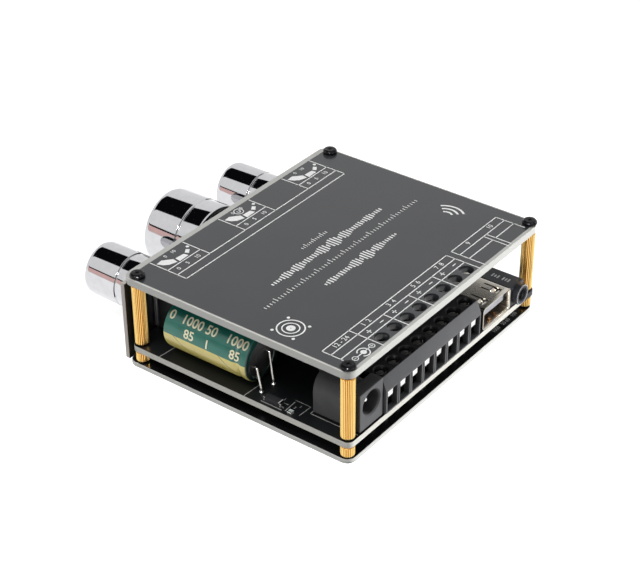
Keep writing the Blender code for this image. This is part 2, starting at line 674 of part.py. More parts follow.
def potentiometers():
    """Each has a housing, a threaded bushing with its plate, a shaft, a nut and a knob."""
    half = POT_WIDTH / 2
    bore = SHAFT_NECK_RADIUS + SEAT
    tail = housing_front - SHAFT_TAIL
    nut_hole = BUSHING_RADIUS + THREAD_GAP
    for side, x in knob_xs.items():
        place = (x, panel_outer, knob_z)
        axis = {"at": place, "turn": (90, 0, 0)}

        housing = piece(f"{side}_pot_housing", boxes(((-half, -POT_BELOW, housing_rear),
                                                      (half, POT_ABOVE, housing_front))),
                        BLACK_PLASTIC, **axis)
        join(housing, leg_boxes(pot_legs[side], part_floor + UNION_DEPTH))
        cut(housing, rods([(0, 0)], tail - SEAT, housing_front + SEAT, bore, ROUND_SIDES), **axis)

        bushing = piece(f"{side}_pot_bushing", boxes(((-half, -POT_BELOW, pot_face - POT_PLATE),
                                                      (half, POT_ABOVE, pot_face))), ZINC, **axis)
        join(bushing, rods([(0, 0)], pot_face - UNION_DEPTH, bushing_end, BUSHING_RADIUS, ROUND_SIDES),
             **axis)
        cut(bushing, rods([(0, 0)], pot_face - POT_PLATE - SEAT, bushing_end + SEAT, bore, ROUND_SIDES),
            **axis)

        nut = piece(f"{side}_pot_nut", rods([(0, 0)], SEAT, nut_front, NUT_FLATS / math.sqrt(3), 6), ZINC,
                    **axis)
        cut(nut, rods([(0, 0)], 0, nut_front + SEAT, nut_hole, ROUND_SIDES), **axis)

        edge = KNOB_RIM_ROUND
        profile = [(0, shaft_end), (SHAFT_RADIUS - edge, shaft_end), (SHAFT_RADIUS, shaft_end - edge),
                   (SHAFT_RADIUS, shaft_shoulder), (SHAFT_NECK_RADIUS, shaft_shoulder),
                   (SHAFT_NECK_RADIUS, tail), (0, tail)]
        shaft = turned(f"{side}_pot_shaft", profile, ROUND_SIDES, STEEL, place, (90, 0, 0))
        cut(shaft, boxes(((-SHAFT_RADIUS - SEAT, SHAFT_FLAT, flat_start),
                          (SHAFT_RADIUS + SEAT, SHAFT_RADIUS + SEAT, shaft_end + SEAT))), **axis)
        knob(f"{side}_knob", knob_radii[side], place)


def power_socket():
    """A barrel socket: square flange, round-backed body, centre pin and side spring."""
    floor, hole_z = part_floor, part_floor + JACK_HOLE_HEIGHT
    half = JACK_WIDTH / 2
    rear = jack_front - JACK_DEPTH
    body = piece("dc_jack_housing", boxes(((jack_x - half, jack_front - JACK_FLANGE, floor),
                                           (jack_x + half, jack_front, floor + JACK_HEIGHT))), BLACK_PLASTIC)
    inner = JACK_FLANGE - UNION_DEPTH
    join(body, boxes(((jack_x - JACK_BARREL_RADIUS, rear, floor),
                      (jack_x + JACK_BARREL_RADIUS, jack_front - inner, hole_z))))
    axis = {"at": (jack_x, jack_front, hole_z), "turn": (-90, 0, 0)}
    join(body, rods([(0, 0)], -JACK_DEPTH, -inner, JACK_BARREL_RADIUS, ROUND_SIDES), **axis)
    join(body, leg_boxes(jack_legs, floor + UNION_DEPTH))
    cut(body, rods([(0, 0)], -JACK_HOLE_DEPTH, SEAT, JACK_HOLE_RADIUS, ROUND_SIDES), **axis)
    pin_rear = JACK_HOLE_DEPTH + JACK_PIN_SEAT
    cut(body, rods([(0, 0)], -pin_rear - SEAT, -JACK_HOLE_DEPTH + SEAT, JACK_PIN_RADIUS + SEAT, SMALL_SIDES),
        **axis)

    outer = JACK_HOLE_RADIUS + SPRING_THICKNESS
    channel = SPRING_WIDTH / 2 + SEAT
    spring_rear = SPRING_SETBACK + SPRING_LENGTH
    cut(body, boxes(((JACK_HOLE_RADIUS / 2, -channel, -spring_rear - SEAT),
                     (outer + SEAT, channel, -SPRING_SETBACK + SEAT))), **axis)

    tip = -JACK_PIN_SETBACK
    profile = [(0, tip), (JACK_PIN_RADIUS / 2, tip), (JACK_PIN_RADIUS, tip - JACK_PIN_RADIUS / 2),
               (JACK_PIN_RADIUS, -pin_rear), (0, -pin_rear)]
    turned("dc_jack_pin", profile, SMALL_SIDES, STEEL, axis["at"], axis["turn"])

    bend = outer - SPRING_REACH - SPRING_THICKNESS
    line = [(outer, -spring_rear), (outer, -spring_rear + SPRING_FOOT),
            (bend + SPRING_THICKNESS, -SPRING_SETBACK - SPRING_BEND_AT), (outer, -SPRING_SETBACK)]
    outline = line + [(x - SPRING_THICKNESS, y) for x, y in reversed(line)]
    piece("dc_jack_spring", prism(outline, -SPRING_WIDTH / 2, SPRING_WIDTH / 2), STEEL,
          (jack_x, jack_front, hole_z))


def screw_terminals():
    """One moulded block with a wire window, a clamp leaf and a captive screw for each pole."""
    floor = part_floor
    rear = block_front - BLOCK_DEPTH
    top = floor + BLOCK_HEIGHT
    brow = top - BLOCK_SLOPE_RISE
    outline = [(rear, floor), (block_front, floor), (block_front, brow), (block_front - BLOCK_SLOPE_RUN, top),
               (rear + BLOCK_REAR_CHAMFER, top), (rear, top - BLOCK_REAR_CHAMFER)]
    left, right = block_x - block_width / 2, block_x + block_width / 2
    block = piece("terminal_block", prism(outline, left, right, "X"), BLACK_PLASTIC)
    join(block, leg_boxes(block_legs, floor + UNION_DEPTH))

    half = WINDOW_WIDTH / 2
    sill = floor + WINDOW_SILL
    roof = sill + WINDOW_HEIGHT
    cut(block, boxes(*[((x - half, block_front - WINDOW_DEPTH, sill), (x + half, block_front + SEAT, roof))
                       for x in pole_xs]))

    head_low = top - CLAMP_HEAD_SINK - CLAMP_HEAD_HEIGHT
    screw_places = [(x, clamp_screw_y) for x in pole_xs]
    cut(block, rods(screw_places, head_low - SEAT, top + SEAT, CLAMP_HEAD_RADIUS + SEAT, SCREW_SIDES))
    cut(block, rods(screw_places, roof - SEAT, head_low + UNION_DEPTH - SEAT, CLAMP_SHANK_RADIUS + SEAT,
                    SMALL_SIDES))

    bend = roof - LEAF_DROP
    face = block_front - LEAF_SETBACK
    back = face - LEAF_RUN
    leaf = [(face, roof + UNION_DEPTH), (face, bend), (back, bend - LEAF_FALL),
            (back, bend - LEAF_FALL + LEAF_THICKNESS), (face - LEAF_THICKNESS, bend + LEAF_THICKNESS),
            (face - LEAF_THICKNESS, roof + UNION_DEPTH)]
    leaves = bmesh.new()
    for x in pole_xs:
        prism(leaf, x - LEAF_WIDTH / 2, x + LEAF_WIDTH / 2, "X", leaves)
    join(block, leaves)

    tip = bend + LEAF_THICKNESS + SEAT
    profile = [(0, CLAMP_HEAD_HEIGHT), (CLAMP_HEAD_RADIUS, CLAMP_HEAD_HEIGHT), (CLAMP_HEAD_RADIUS, 0),
               (CLAMP_SHANK_RADIUS, 0), (CLAMP_SHANK_RADIUS, tip - head_low), (0, tip - head_low)]
    slot_low = CLAMP_HEAD_HEIGHT - CLAMP_SLOT_DEPTH
    for k, (x, y) in enumerate(screw_places, 1):
        place = (x, y, head_low)
        screw = turned(f"terminal_screw_{k}", profile, SMALL_SIDES, STEEL, place)
        cut(screw, boxes(((-CLAMP_HEAD_RADIUS - SEAT, -CLAMP_SLOT_WIDTH / 2, slot_low),
                          (CLAMP_HEAD_RADIUS + SEAT, CLAMP_SLOT_WIDTH / 2, CLAMP_HEAD_HEIGHT + SEAT))),
            at=place)


def usb_socket():
    """A folded steel shell with spring tabs and lugs, round a moulded tongue."""
    half, rear = usb_half, -USB_DEPTH
    at = (usb_x, rear_edge, part_floor)
    bm = boxes(((-half, rear, 0), (half, -USB_LIP, USB_HEIGHT - USB_FLARE)))
    soften(bm, 1, USB_CORNER, USB_CORNER_STEPS)
    mouth = max(bm.faces, key=lambda face: face.calc_center_median().y)
    rim = list(mouth.edges)
    bmesh.ops.delete(bm, geom=[mouth], context="FACES_ONLY")
    drawn = bmesh.ops.extrude_edge_only(bm, edges=rim)["geom"]
    lip = [v for v in drawn if isinstance(v, bmesh.types.BMVert)]
    bmesh.ops.translate(bm, vec=(0, USB_LIP, 0), verts=lip)
    for vert in lip:
        vert.co.x *= (half + USB_FLARE) / half
        vert.co.z *= USB_HEIGHT / (USB_HEIGHT - USB_FLARE)
    shell = piece("usb_shell", bm, STEEL, at)
    wall = shell.modifiers.new("wall", "SOLIDIFY")
    wall.thickness = USB_WALL
    wall.offset = -1.0
    wall.use_even_offset = True

    outer, slot = USB_TAB_WIDTH / 2 + USB_TAB_SLOT, USB_TAB_WIDTH / 2
    front, back = -USB_TAB_SETBACK, -USB_TAB_SETBACK - USB_TAB_LENGTH
    tab_gap = [(-outer, back), (-slot, back), (-slot, front - USB_TAB_SLOT), (slot, front - USB_TAB_SLOT),
               (slot, back), (outer, back), (outer, front), (-outer, front)]
    roof = USB_HEIGHT - USB_FLARE
    for side in (-1, 1):
        outline = [(x + side * USB_TAB_OFFSET, y) for x, y in tab_gap]
        cut(shell, prism(outline, roof - USB_WALL - SEAT, roof + SEAT), at=at)
    inner = half - USB_WALL - SEAT
    base_front = rear + USB_WALL + SEAT + USB_BASE_DEPTH
    cut(shell, boxes(((-inner + USB_CORNER, rear + USB_WALL, -SEAT),
                      (inner - USB_CORNER, base_front + SEAT, USB_WALL + SEAT))), at=at)
    lug = USB_LUG_WIDTH / 2
    lug_top = part_floor + USB_CORNER + lug
    join(shell, boxes(*[((x - USB_WALL / 2, y - lug, leg_tip), (x + USB_WALL / 2, y + lug, lug_top))
                        for x, y in usb_lugs]))

    ceiling = roof - USB_WALL
    tongue_top = ceiling - USB_ROOF_GAP
    insert = piece("usb_insert", boxes(((-inner + USB_CORNER, rear + USB_WALL + SEAT, USB_WALL + SEAT),
                                        (inner - USB_CORNER, base_front, ceiling - SEAT))), GREY_PLASTIC, at)
    join(insert, boxes(((-USB_TONGUE_WIDTH / 2, base_front - UNION_DEPTH, tongue_top - USB_TONGUE_THICKNESS),
                        (USB_TONGUE_WIDTH / 2, -USB_TONGUE_SETBACK, tongue_top))), at=at)
    join(insert, leg_boxes(usb_legs, part_floor + USB_WALL + SEAT + UNION_DEPTH))


def audio_socket():
    """A small moulded box with a round nozzle for a 3.5 mm plug."""
    half = SOCKET_WIDTH / 2
    at = (socket_x, rear_edge, part_floor)
    bm = boxes(((-half, -SOCKET_DEPTH, 0), (half, 0, SOCKET_HEIGHT)))
    soften(bm, 2, SOCKET_CHAMFER, SMALL_CORNER_STEPS, lambda middle: middle.y > -SOCKET_DEPTH / 2)
    body = piece("audio_jack", bm, BLACK_PLASTIC, at)
    axis = {"at": (socket_x, rear_edge, part_floor + NOZZLE_HEIGHT), "turn": (-90, 0, 0)}
    join(body, rods([(0, 0)], -UNION_DEPTH, NOZZLE_LENGTH, NOZZLE_RADIUS, ROUND_SIDES), **axis)
    join(body, leg_boxes(socket_legs, part_floor + UNION_DEPTH))
    bore_end = NOZZLE_LENGTH - NOZZLE_BORE_DEPTH
    cut(body, rods([(0, 0)], bore_end, NOZZLE_LENGTH + SEAT, NOZZLE_BORE, ROUND_SIDES), **axis)


def capacitor():
    """The big can on its side, crimped near its seal, with two bare leads into the board."""
    place = (cap_axis[0], cap_front, cap_axis[1])
    r, crimp = CAP_RADIUS, CAP_LENGTH - CAP_CRIMP_AT
    rim = CAP_LENGTH - CAP_SEAL_RECESS
    profile = [(0, rim), (r - 2 * CAP_ROUND, rim), (r - 1.5 * CAP_ROUND, CAP_LENGTH),
               (r - CAP_ROUND, CAP_LENGTH), (r, CAP_LENGTH - CAP_ROUND),
               (r, crimp + 2 * CAP_CRIMP_DEPTH), (r - CAP_CRIMP_DEPTH, crimp),
               (r, crimp - 2 * CAP_CRIMP_DEPTH), (r, CAP_ROUND), (r - CAP_ROUND, 0), (0, 0)]
    can = turned("power_capacitor", profile, CAN_SIDES, GREEN_SLEEVE, place, (-90, 0, 0))
    inside = cap_rear - CAP_ROUND
    for (x, y), side in zip(cap_leads, (1, -1)):
        seal_x = cap_axis[0] + side * lead_shift[0]
        seal_z = cap_axis[1] - side * lead_shift[1]
        route = [(seal_x, inside, seal_z), (seal_x, cap_rear + CAP_LEAD_RUN, seal_z),
                 (x, y, board_top + CAP_LEAD_FOOT), (x, y, leg_tip)]
        join(can, wire(route, CAP_LEAD_RADIUS))


def hidden_pieces():
    """Amplifier chips under a finned heatsink, output inductors and a wireless module."""
    free_front = panel_outer - housing_rear
    free_rear = block_front - BLOCK_DEPTH - INDUCTOR_FROM_BLOCK - INDUCTOR_SIZE
    sink_y = (free_front + free_rear) / 2
    lead_pitch = CHIP_WIDTH / CHIP_LEADS
    chip_x = HEATSINK_WIDTH / 2 - CHIP_FROM_SINK_END
    for k, x in enumerate((-chip_x, chip_x), 1):
        wide, deep = CHIP_WIDTH / 2, CHIP_DEPTH / 2
        chip = piece(f"amplifier_chip_{k}", boxes(((-wide, -deep, 0), (wide, deep, CHIP_HEIGHT))),
                     BLACK_PLASTIC, (x, sink_y, part_floor))
        leads = bmesh.new()
        for spot in centred_row(0, lead_pitch, CHIP_LEADS):
            for side in (-1, 1):
                near = side * (deep - UNION_DEPTH)
                far = side * (deep + CHIP_LEAD_LENGTH)
                add_box(leads, (spot - lead_pitch / 4, min(near, far), CHIP_LEAD_RISE),
                        (spot + lead_pitch / 4, max(near, far), CHIP_LEAD_RISE + CHIP_LEAD_THICKNESS))
        join(chip, leads, at=(x, sink_y, part_floor))

    half = HEATSINK_WIDTH / 2
    gap = (HEATSINK_WIDTH - HEATSINK_FINS * FIN_THICKNESS) / (HEATSINK_FINS - 1)
    outline = [(-half, 0), (half, 0)]
    for k in range(HEATSINK_FINS):
        right = half - k * (FIN_THICKNESS + gap)
        crest = [(right, HEATSINK_HEIGHT), (right - FIN_THICKNESS, HEATSINK_HEIGHT)]
        foot_right = [] if k == 0 else [(right, HEATSINK_BASE)]
        foot_left = [] if k == HEATSINK_FINS - 1 else [(right - FIN_THICKNESS, HEATSINK_BASE)]
        outline += foot_right + crest + foot_left
    piece("heatsink", prism(outline, -HEATSINK_DEPTH / 2, HEATSINK_DEPTH / 2), ANODISED,
          (0, sink_y, part_floor + CHIP_HEIGHT + SEAT), (90, 0, 0))

    inductor_y = free_rear + INDUCTOR_SIZE / 2
    side = INDUCTOR_SIZE / 2
    for k, x in enumerate(centred_row(block_x, INDUCTOR_PITCH, INDUCTORS), 1):
        bm = boxes(((-side, -side, 0), (side, side, INDUCTOR_HEIGHT)))
        outline = soften(bm, 2, INDUCTOR_CORNER, SMALL_CORNER_STEPS)
        piece(f"inductor_{k}", outline, FERRITE, (x, inductor_y, part_floor))

    wide, deep = MODULE_WIDTH / 2, MODULE_DEPTH / 2
    module_x = -right_edge + MODULE_FROM_EDGE + wide
    at = (module_x, sink_y, part_floor)
    module = piece("wireless_module", boxes(((-wide, -deep, 0), (wide, deep, MODULE_THICKNESS))),
                   MODULE_MASK, at)
    rim = MODULE_CAN_RIM
    join(module, boxes(((-wide + rim, -deep + rim, MODULE_THICKNESS - UNION_DEPTH),
                        (wide - rim, deep - MODULE_AERIAL, MODULE_THICKNESS + MODULE_CAN_HEIGHT))), at=at)


acrylic_plates()
front_panel()
main_board()
standoffs()
plate_screws()
potentiometers()
power_socket()
screw_terminals()
usb_socket()
audio_socket()
capacitor()
hidden_pieces()
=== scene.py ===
# %% [markdown]
# # An audio amplifier board, dressed for its portrait
#
# The model that this script loads is already right in every size: a circuit board between
# two acrylic plates, three knobs in front, and a row of sockets behind. What it lacks is
# looks. Each cell below takes one piece or one finish, says what the real one is like, and
# builds it. The plain solids stay underneath, and carry the motion.

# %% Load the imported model
import math

import bmesh
import bpy
from mathutils import Matrix, Vector


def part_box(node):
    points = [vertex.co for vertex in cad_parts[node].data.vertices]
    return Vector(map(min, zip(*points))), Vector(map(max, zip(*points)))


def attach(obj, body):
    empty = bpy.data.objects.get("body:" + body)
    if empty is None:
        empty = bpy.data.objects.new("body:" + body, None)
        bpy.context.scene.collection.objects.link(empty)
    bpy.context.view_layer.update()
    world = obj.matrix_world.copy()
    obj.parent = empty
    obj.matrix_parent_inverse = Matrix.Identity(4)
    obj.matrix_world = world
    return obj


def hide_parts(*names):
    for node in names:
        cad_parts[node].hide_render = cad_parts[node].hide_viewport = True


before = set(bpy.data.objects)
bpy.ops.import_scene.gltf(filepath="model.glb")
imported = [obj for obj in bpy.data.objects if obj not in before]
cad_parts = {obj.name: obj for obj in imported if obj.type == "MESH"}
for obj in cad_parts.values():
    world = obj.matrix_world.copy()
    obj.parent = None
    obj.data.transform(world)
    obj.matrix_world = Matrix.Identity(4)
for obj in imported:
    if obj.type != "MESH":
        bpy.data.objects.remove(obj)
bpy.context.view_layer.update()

# %% [markdown]
# ## The camera
#
# The picture was taken from behind the board's right corner, from a third of the way up. A
# long lens stands well back, so the plates' edges stay nearly parallel. The camera is set by
# what it looks at, its direction and its distance, which is easier to correct than a bare
# location. A quarter of a degree of roll levels it with the picture.

# %% Place the camera
mm = 0.001
CAMERA_TARGET = Vector((2.27, -3.88, 12.83)) * mm
CAMERA_AZIMUTH = math.radians(127.13)
CAMERA_ELEVATION = math.radians(33.22)
CAMERA_DISTANCE = 421.1 * mm
CAMERA_ROLL = math.radians(-0.27)
CAMERA_LENS = 95.67


def turned_axes(azimuth, elevation, roll):
    """The camera's right, up and backward directions."""
    back = Vector((math.sin(azimuth) * math.cos(elevation), -math.cos(azimuth) * math.cos(elevation),
                   math.sin(elevation)))
    right = Vector((math.cos(azimuth), math.sin(azimuth), 0.0))
    up = back.cross(right)
    return (right * math.cos(roll) + up * math.sin(roll), up * math.cos(roll) - right * math.sin(roll), back)


def put(name, data):
    """An object in the scene."""
    thing = bpy.data.objects.new(name, data)
    bpy.context.scene.collection.objects.link(thing)
    return thing


camera_axes = turned_axes(CAMERA_AZIMUTH, CAMERA_ELEVATION, CAMERA_ROLL)
camera = put("camera", bpy.data.cameras.new("camera"))
camera.matrix_world = Matrix(camera_axes).transposed().to_4x4()
camera.location = CAMERA_TARGET + camera_axes[2] * CAMERA_DISTANCE
camera.data.lens = CAMERA_LENS
camera.data.sensor_width = 36.0
camera.data.clip_start = 0.01
camera.data.clip_end = 20.0
bpy.context.scene.camera = camera
bpy.context.scene.view_settings.view_transform = "Standard"
print("camera at", [round(value, 3) for value in camera.location])

# %% [markdown]
# ## Shader arithmetic
#
# Procedural finishes are mostly sums and masks. Written as nodes they are long, so this
# small class wraps a node's output and gives it Python's operators: `1 - mask` adds one
# Math node and returns its result. Every other node comes from `Finish.node`, which sets a
# node's choices first and then feeds its sockets.

# %% A socket that does arithmetic, and a finish that makes nodes


class Number:
    """A node's output that can be used in plain arithmetic."""

    def __init__(self, finish, socket):
        self.finish, self.socket = finish, socket

    def do(self, operation, *others):
        return self.finish.math(operation, self, *others)

    def __add__(self, other):
        return self.do("ADD", other)

    def __mul__(self, other):
        return self.do("MULTIPLY", other)

    def __sub__(self, other):
        return self.do("SUBTRACT", other)

    def __rsub__(self, other):
        return self.finish.math("SUBTRACT", other, self)

    def __truediv__(self, other):
        return self.do("DIVIDE", other)

    def __abs__(self):
        return self.do("ABSOLUTE")

    __radd__ = __add__
    __rmul__ = __mul__


class Tree:
    """A node tree. Its methods add nodes and hand back Numbers."""

    def __init__(self, tree):
        self.nodes, self.links = tree.nodes, tree.links

    def feed(self, socket, value):
        if isinstance(value, Number):
            self.links.new(value.socket, socket)
        elif isinstance(value, tuple) and len(value) == 3 and len(socket.default_value) == 4:
            socket.default_value = (*value, 1.0)
        else:
            socket.default_value = value

    def node(self, kind, sockets=(), output=0, stops=(), **choices):
        made = self.nodes.new(kind)
        for choice, value in choices.items():
            setattr(made, choice, value)
        for element, (position, colour) in zip(made.color_ramp.elements if stops else (), stops):
            element.position, element.color = position, colour
        for socket, value in dict(sockets).items():
            self.feed(made.inputs[socket], value)
        return Number(self, made.outputs[output])

    def math(self, operation, *values):
        return self.node("ShaderNodeMath", enumerate(values), operation=operation)


class Finish(Tree):
    """One material, with a Principled shader and finishes that lie on the object."""

    def __init__(self, name, colour, roughness, metallic=0.0, **uniform):
        self.material = bpy.data.materials.new(name)
        self.material.use_nodes = True
        super().__init__(self.material.node_tree)
        self.shader = self.nodes["Principled BSDF"]
        self.set("Base Color", colour)
        self.set("Roughness", roughness)
        self.set("Metallic", metallic)
        for socket, value in uniform.items():
            self.set(socket.replace("_", " "), value)

    def set(self, socket, value):
        self.feed(self.shader.inputs[socket], value)

    def show(self, surface):
        """Puts another shader in the place of the Principled one."""
        self.links.new(surface.socket, self.nodes["Material Output"].inputs["Surface"])

    def place(self, scale=(1, 1, 1), centre=(0, 0, 0), turn=(0, 0, 0)):
        """The point on the object, from a centre, turned and scaled."""
        point = self.node("ShaderNodeTexCoord", output="Object")
        moved = self.node("ShaderNodeVectorMath", {0: point, 1: tuple(centre)}, operation="SUBTRACT")
        return self.node("ShaderNodeMapping", {"Vector": moved, "Rotation": turn, "Scale": scale})

    def xyz(self, **where):
        split = self.node("ShaderNodeSeparateXYZ", {0: self.place(**where)})
        return [Number(self, out) for out in split.socket.node.outputs]

    def noise(self, size, detail=2.0, stretch=(1, 1, 1), **where):
        """Soft noise with blotches of about that size, in metres."""
        scale = tuple(part / size for part in stretch)
        return self.node("ShaderNodeTexNoise", {"Vector": self.place(scale, **where), "Scale": 1.0,
                                                "Detail": detail, "Roughness": 0.55})

    def mix(self, share, first, second):
        """A colour between two colours."""
        return self.node("ShaderNodeMix", {0: share, 6: first, 7: second}, output=2, data_type="RGBA")

    def bump(self, height, depth, strength=1.0):
        """Raises the surface by height times depth, in metres."""
        sockets = {"Height": height, "Distance": depth, "Strength": strength}
        self.set("Normal", self.node("ShaderNodeBump", sockets))

    def cloudy(self, share, colour, low=0.8, high=1.0):
        """A colour that drifts a little darker and lighter."""
        return self.mix(share, tuple(low * part for part in colour),
                        tuple(min(1.0, high * part) for part in colour))

    def step(self, value, low, high):
        """0 below low, 1 above high, and a smooth rise between."""
        return self.node("ShaderNodeMapRange", {"Value": value, "From Min": low, "From Max": high},
                         interpolation_type="SMOOTHSTEP")


print("shader helpers ready")

# %% [markdown]
# ## Floor, light and background
#
# The board is shown on white. A pale floor that the camera, mirrors and glass see nearly
# white keeps the object's own soft shadow, and the world behind it is plain white for the
# same rays. A low lamp stands behind the sockets, because the rear faces of the black
# mouldings are the brightest dark surfaces. A high one lights the tops and the cut edges but
# not what lies under the plate, and a weak one on the right reaches the capacitor. Chrome
# shows whatever surrounds it, so black cards, as a product photographer would hang them, give
# the knobs their dark bands.

# %% Build the studio
FLOOR_SIZE = 6.0
WHITE = (1.0, 1.0, 1.0)


def seen_directly(tree):
    """1 for rays from the camera, from mirrors and through glass."""
    path = tree.node("ShaderNodeLightPath", output="Is Camera Ray")
    rays = {out.name: Number(tree, out) for out in path.socket.node.outputs}
    direct = rays["Is Camera Ray"].do("MAXIMUM", rays["Is Glossy Ray"])
    return direct.do("MAXIMUM", rays["Is Transmission Ray"])


def floor_finish():
    floor = Finish("studio_floor", (0.30, 0.30, 0.30), 0.9)
    glow = floor.node("ShaderNodeEmission", {"Color": WHITE, "Strength": 0.82})
    lit = floor.node("ShaderNodeBsdfDiffuse", {"Color": (0.5, 0.5, 0.5)})
    both = floor.node("ShaderNodeAddShader", {0: glow, 1: lit})
    base = Number(floor, floor.shader.outputs[0])
    floor.show(floor.node("ShaderNodeMixShader", {0: seen_directly(floor), 1: base, 2: both}))
    return floor.material


def mesh_of(bm, name, *materials):
    """A mesh with the shape and the materials. The shape is used up."""
    mesh = bpy.data.meshes.new(name)
    bm.to_mesh(mesh)
    bm.free()
    for material in materials:
        mesh.materials.append(material)
    return mesh


def studio_floor():
    bm = bmesh.new()
    bmesh.ops.create_grid(bm, x_segments=1, y_segments=1, size=FLOOR_SIZE / 2)
    floor = put("floor", mesh_of(bm, "floor", floor_finish()))
    floor.location.z = -0.02 * mm


def studio_world():
    world = bpy.data.worlds.new("studio")
    bpy.context.scene.world = world
    world.use_nodes = True
    tree = Tree(world.node_tree)
    tree.nodes.clear()
    soft = tree.node("ShaderNodeBackground", {"Color": WHITE, "Strength": 0.14})
    white = tree.node("ShaderNodeBackground", {"Color": WHITE, "Strength": 1.0})
    shown = tree.node("ShaderNodeMixShader", {0: seen_directly(tree), 1: soft, 2: white})
    tree.links.new(shown.socket, tree.nodes.new("ShaderNodeOutputWorld").inputs["Surface"])


def lamp(name, place, size, power, mirrored):
    """A square area lamp that looks at the board's middle. It gives either light or glints."""
    light = put(name, bpy.data.lights.new(name, "AREA"))
    light.data.size = size
    light.data.energy = power
    light.location = place
    light.rotation_euler = (CAMERA_TARGET - Vector(place)).to_track_quat("-Z", "Y").to_euler()
    light.visible_glossy = mirrored
    light.visible_diffuse = not mirrored


def card(name, corners, colour):
    """A coloured card that only mirrors see."""
    paper = Finish(name, colour, 0.9)
    paper.show(paper.node("ShaderNodeEmission", {"Color": colour, "Strength": 1.0}))
    bm = bmesh.new()
    bm.faces.new([bm.verts.new(corner) for corner in corners])
    thing = put(name, mesh_of(bm, name, paper.material))
    for ray in ("camera", "diffuse", "transmission", "volume_scatter", "shadow"):
        setattr(thing, f"visible_{ray}", False)


studio_floor()
studio_world()
lamp("rear_lamp", (-0.60, 0.70, 0.08), 0.16, 15.0, mirrored=False)
lamp("top_lamp", (0.30, -0.10, 0.95), 0.60, 8.0, mirrored=False)
lamp("side_lamp", (1.0, 0.05, 0.12), 0.40, 2.6, mirrored=False)
lamp("glint_lamp", (0.62, 0.31, 0.52), 0.14, 6.0, mirrored=True)
BLACK_CARD, ROSE_CARD = (0.004, 0.004, 0.005), (0.90, 0.60, 0.56)
card("overhead_card", [(-0.52, -1.6, 0.9), (0.41, -1.6, 0.9), (0.41, -0.2, 0.9), (-0.52, -0.2, 0.9)],
     BLACK_CARD)
for name, low, high, colour in (("side_card", 0.30, 0.39, BLACK_CARD), ("rose_card", 0.03, 0.30, ROSE_CARD)):
    card(name, [(1.0, -1.6, low), (1.0, -0.1, low), (1.0, -0.1, high), (1.0, -1.6, high)], colour)
print("studio ready")

# %% [markdown]
# ## Making and placing pieces
#
# Four helpers cover most of the work. `block` adds a box with rounded edges, `spun` turns a
# profile about an axis, `drilled_sheet` makes a plate with round corners and holes, and
# `finish_piece` hands the finished mesh over: its place is in its vertices, its object sits
# at the origin, and it rides on the body that carries it.

# %% Mesh helpers
ROOT = "board_assembly"
SIDES = ("right", "middle", "left")
FLAT_FROM = 0.99999      # share of a face's normal along one axis from which it is shaded flat
MERGE = 1e-7             # metres between points that count as one
EDGE_BEVEL = {"affect": "EDGES", "profile": 0.5, "material": -1}


def middle_of(node):
    """The middle of a node's box."""
    low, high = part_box(node)
    return (low + high) / 2


def finish_piece(name, bm, material, replaced=(), body=ROOT, sharp=32):
    """Makes the object, shades it, and lets it ride on its body."""
    bmesh.ops.remove_doubles(bm, verts=bm.verts, dist=MERGE)
    bmesh.ops.recalc_face_normals(bm, faces=bm.faces)
    mesh = mesh_of(bm, name, material)
    mesh.shade_smooth()
    mesh.set_sharp_from_angle(angle=math.radians(sharp))
    for face in mesh.polygons:
        face.use_smooth = max(abs(part) for part in face.normal) < FLAT_FROM
    thing = put(name, mesh)
    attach(thing, body)
    if replaced:
        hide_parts(*replaced)
    print(name, len(mesh.polygons), "faces")


def block(bm, low, high, rounding=0.0, segments=2):
    """Adds a box between two corners, with all its edges rounded."""
    low, high = Vector(low), Vector(high)
    verts = bmesh.ops.create_cube(bm, size=1.0)["verts"]
    bmesh.ops.scale(bm, vec=high - low, verts=verts)
    bmesh.ops.translate(bm, vec=(low + high) / 2, verts=verts)
    if rounding:
        edges = list({edge for vert in verts for edge in vert.link_edges})
        bmesh.ops.bevel(bm, geom=edges, offset=rounding, segments=segments, **EDGE_BEVEL)


def drawn_out(bm, faces, way):
    """Draws faces out along a vector into a closed solid."""
    drawn = bmesh.ops.extrude_face_region(bm, geom=faces, use_keep_orig=True)["geom"]
    bmesh.ops.translate(bm, vec=way, verts=[item for item in drawn if isinstance(item, bmesh.types.BMVert)])


def short_curve(before, here, after, rounding, steps):
    """Points of a curve that takes a corner's place."""
    start = here + (before - here).normalized() * rounding
    end = here + (after - here).normalized() * rounding
    shares = [step / steps for step in range(steps + 1)]
    return [start * (1 - share) ** 2 + here * 2 * share * (1 - share) + end * share ** 2 for share in shares]


def rounded_line(points, steps=3):
    """Points of (r, h) or (r, h, rounding). A rounded one becomes a short curve."""
    line = []
    for k, point in enumerate(points):
        here = Vector(point[:2])
        if len(point) == 2:
            line.append(here)
            continue
        before, after = Vector(points[k - 1][:2]), Vector(points[(k + 1) % len(points)][:2])
        line += short_curve(before, here, after, point[2], steps)
    return line


def spun(points, sides, matrix=None, closed=False, bm=None):
    """Turns a profile once about Z, then places it."""
    bm = bmesh.new() if bm is None else bm
    verts = [bm.verts.new((spot.x, 0.0, spot.y)) for spot in rounded_line(points)]
    pairs = list(zip(verts, verts[1:])) + ([(verts[-1], verts[0])] if closed else [])
    edges = [bm.edges.new(pair) for pair in pairs]
    before = set(bm.verts) - set(verts)
    bmesh.ops.spin(bm, geom=verts + edges, cent=(0, 0, 0), axis=(0, 0, 1), angle=math.tau, steps=sides,
                   use_merge=True)
    made = [vert for vert in bm.verts if vert not in before]
    bmesh.ops.remove_doubles(bm, verts=made, dist=MERGE)
    if matrix is not None:
        bmesh.ops.transform(bm, matrix=matrix, verts=[vert for vert in bm.verts if vert not in before])
    return bm


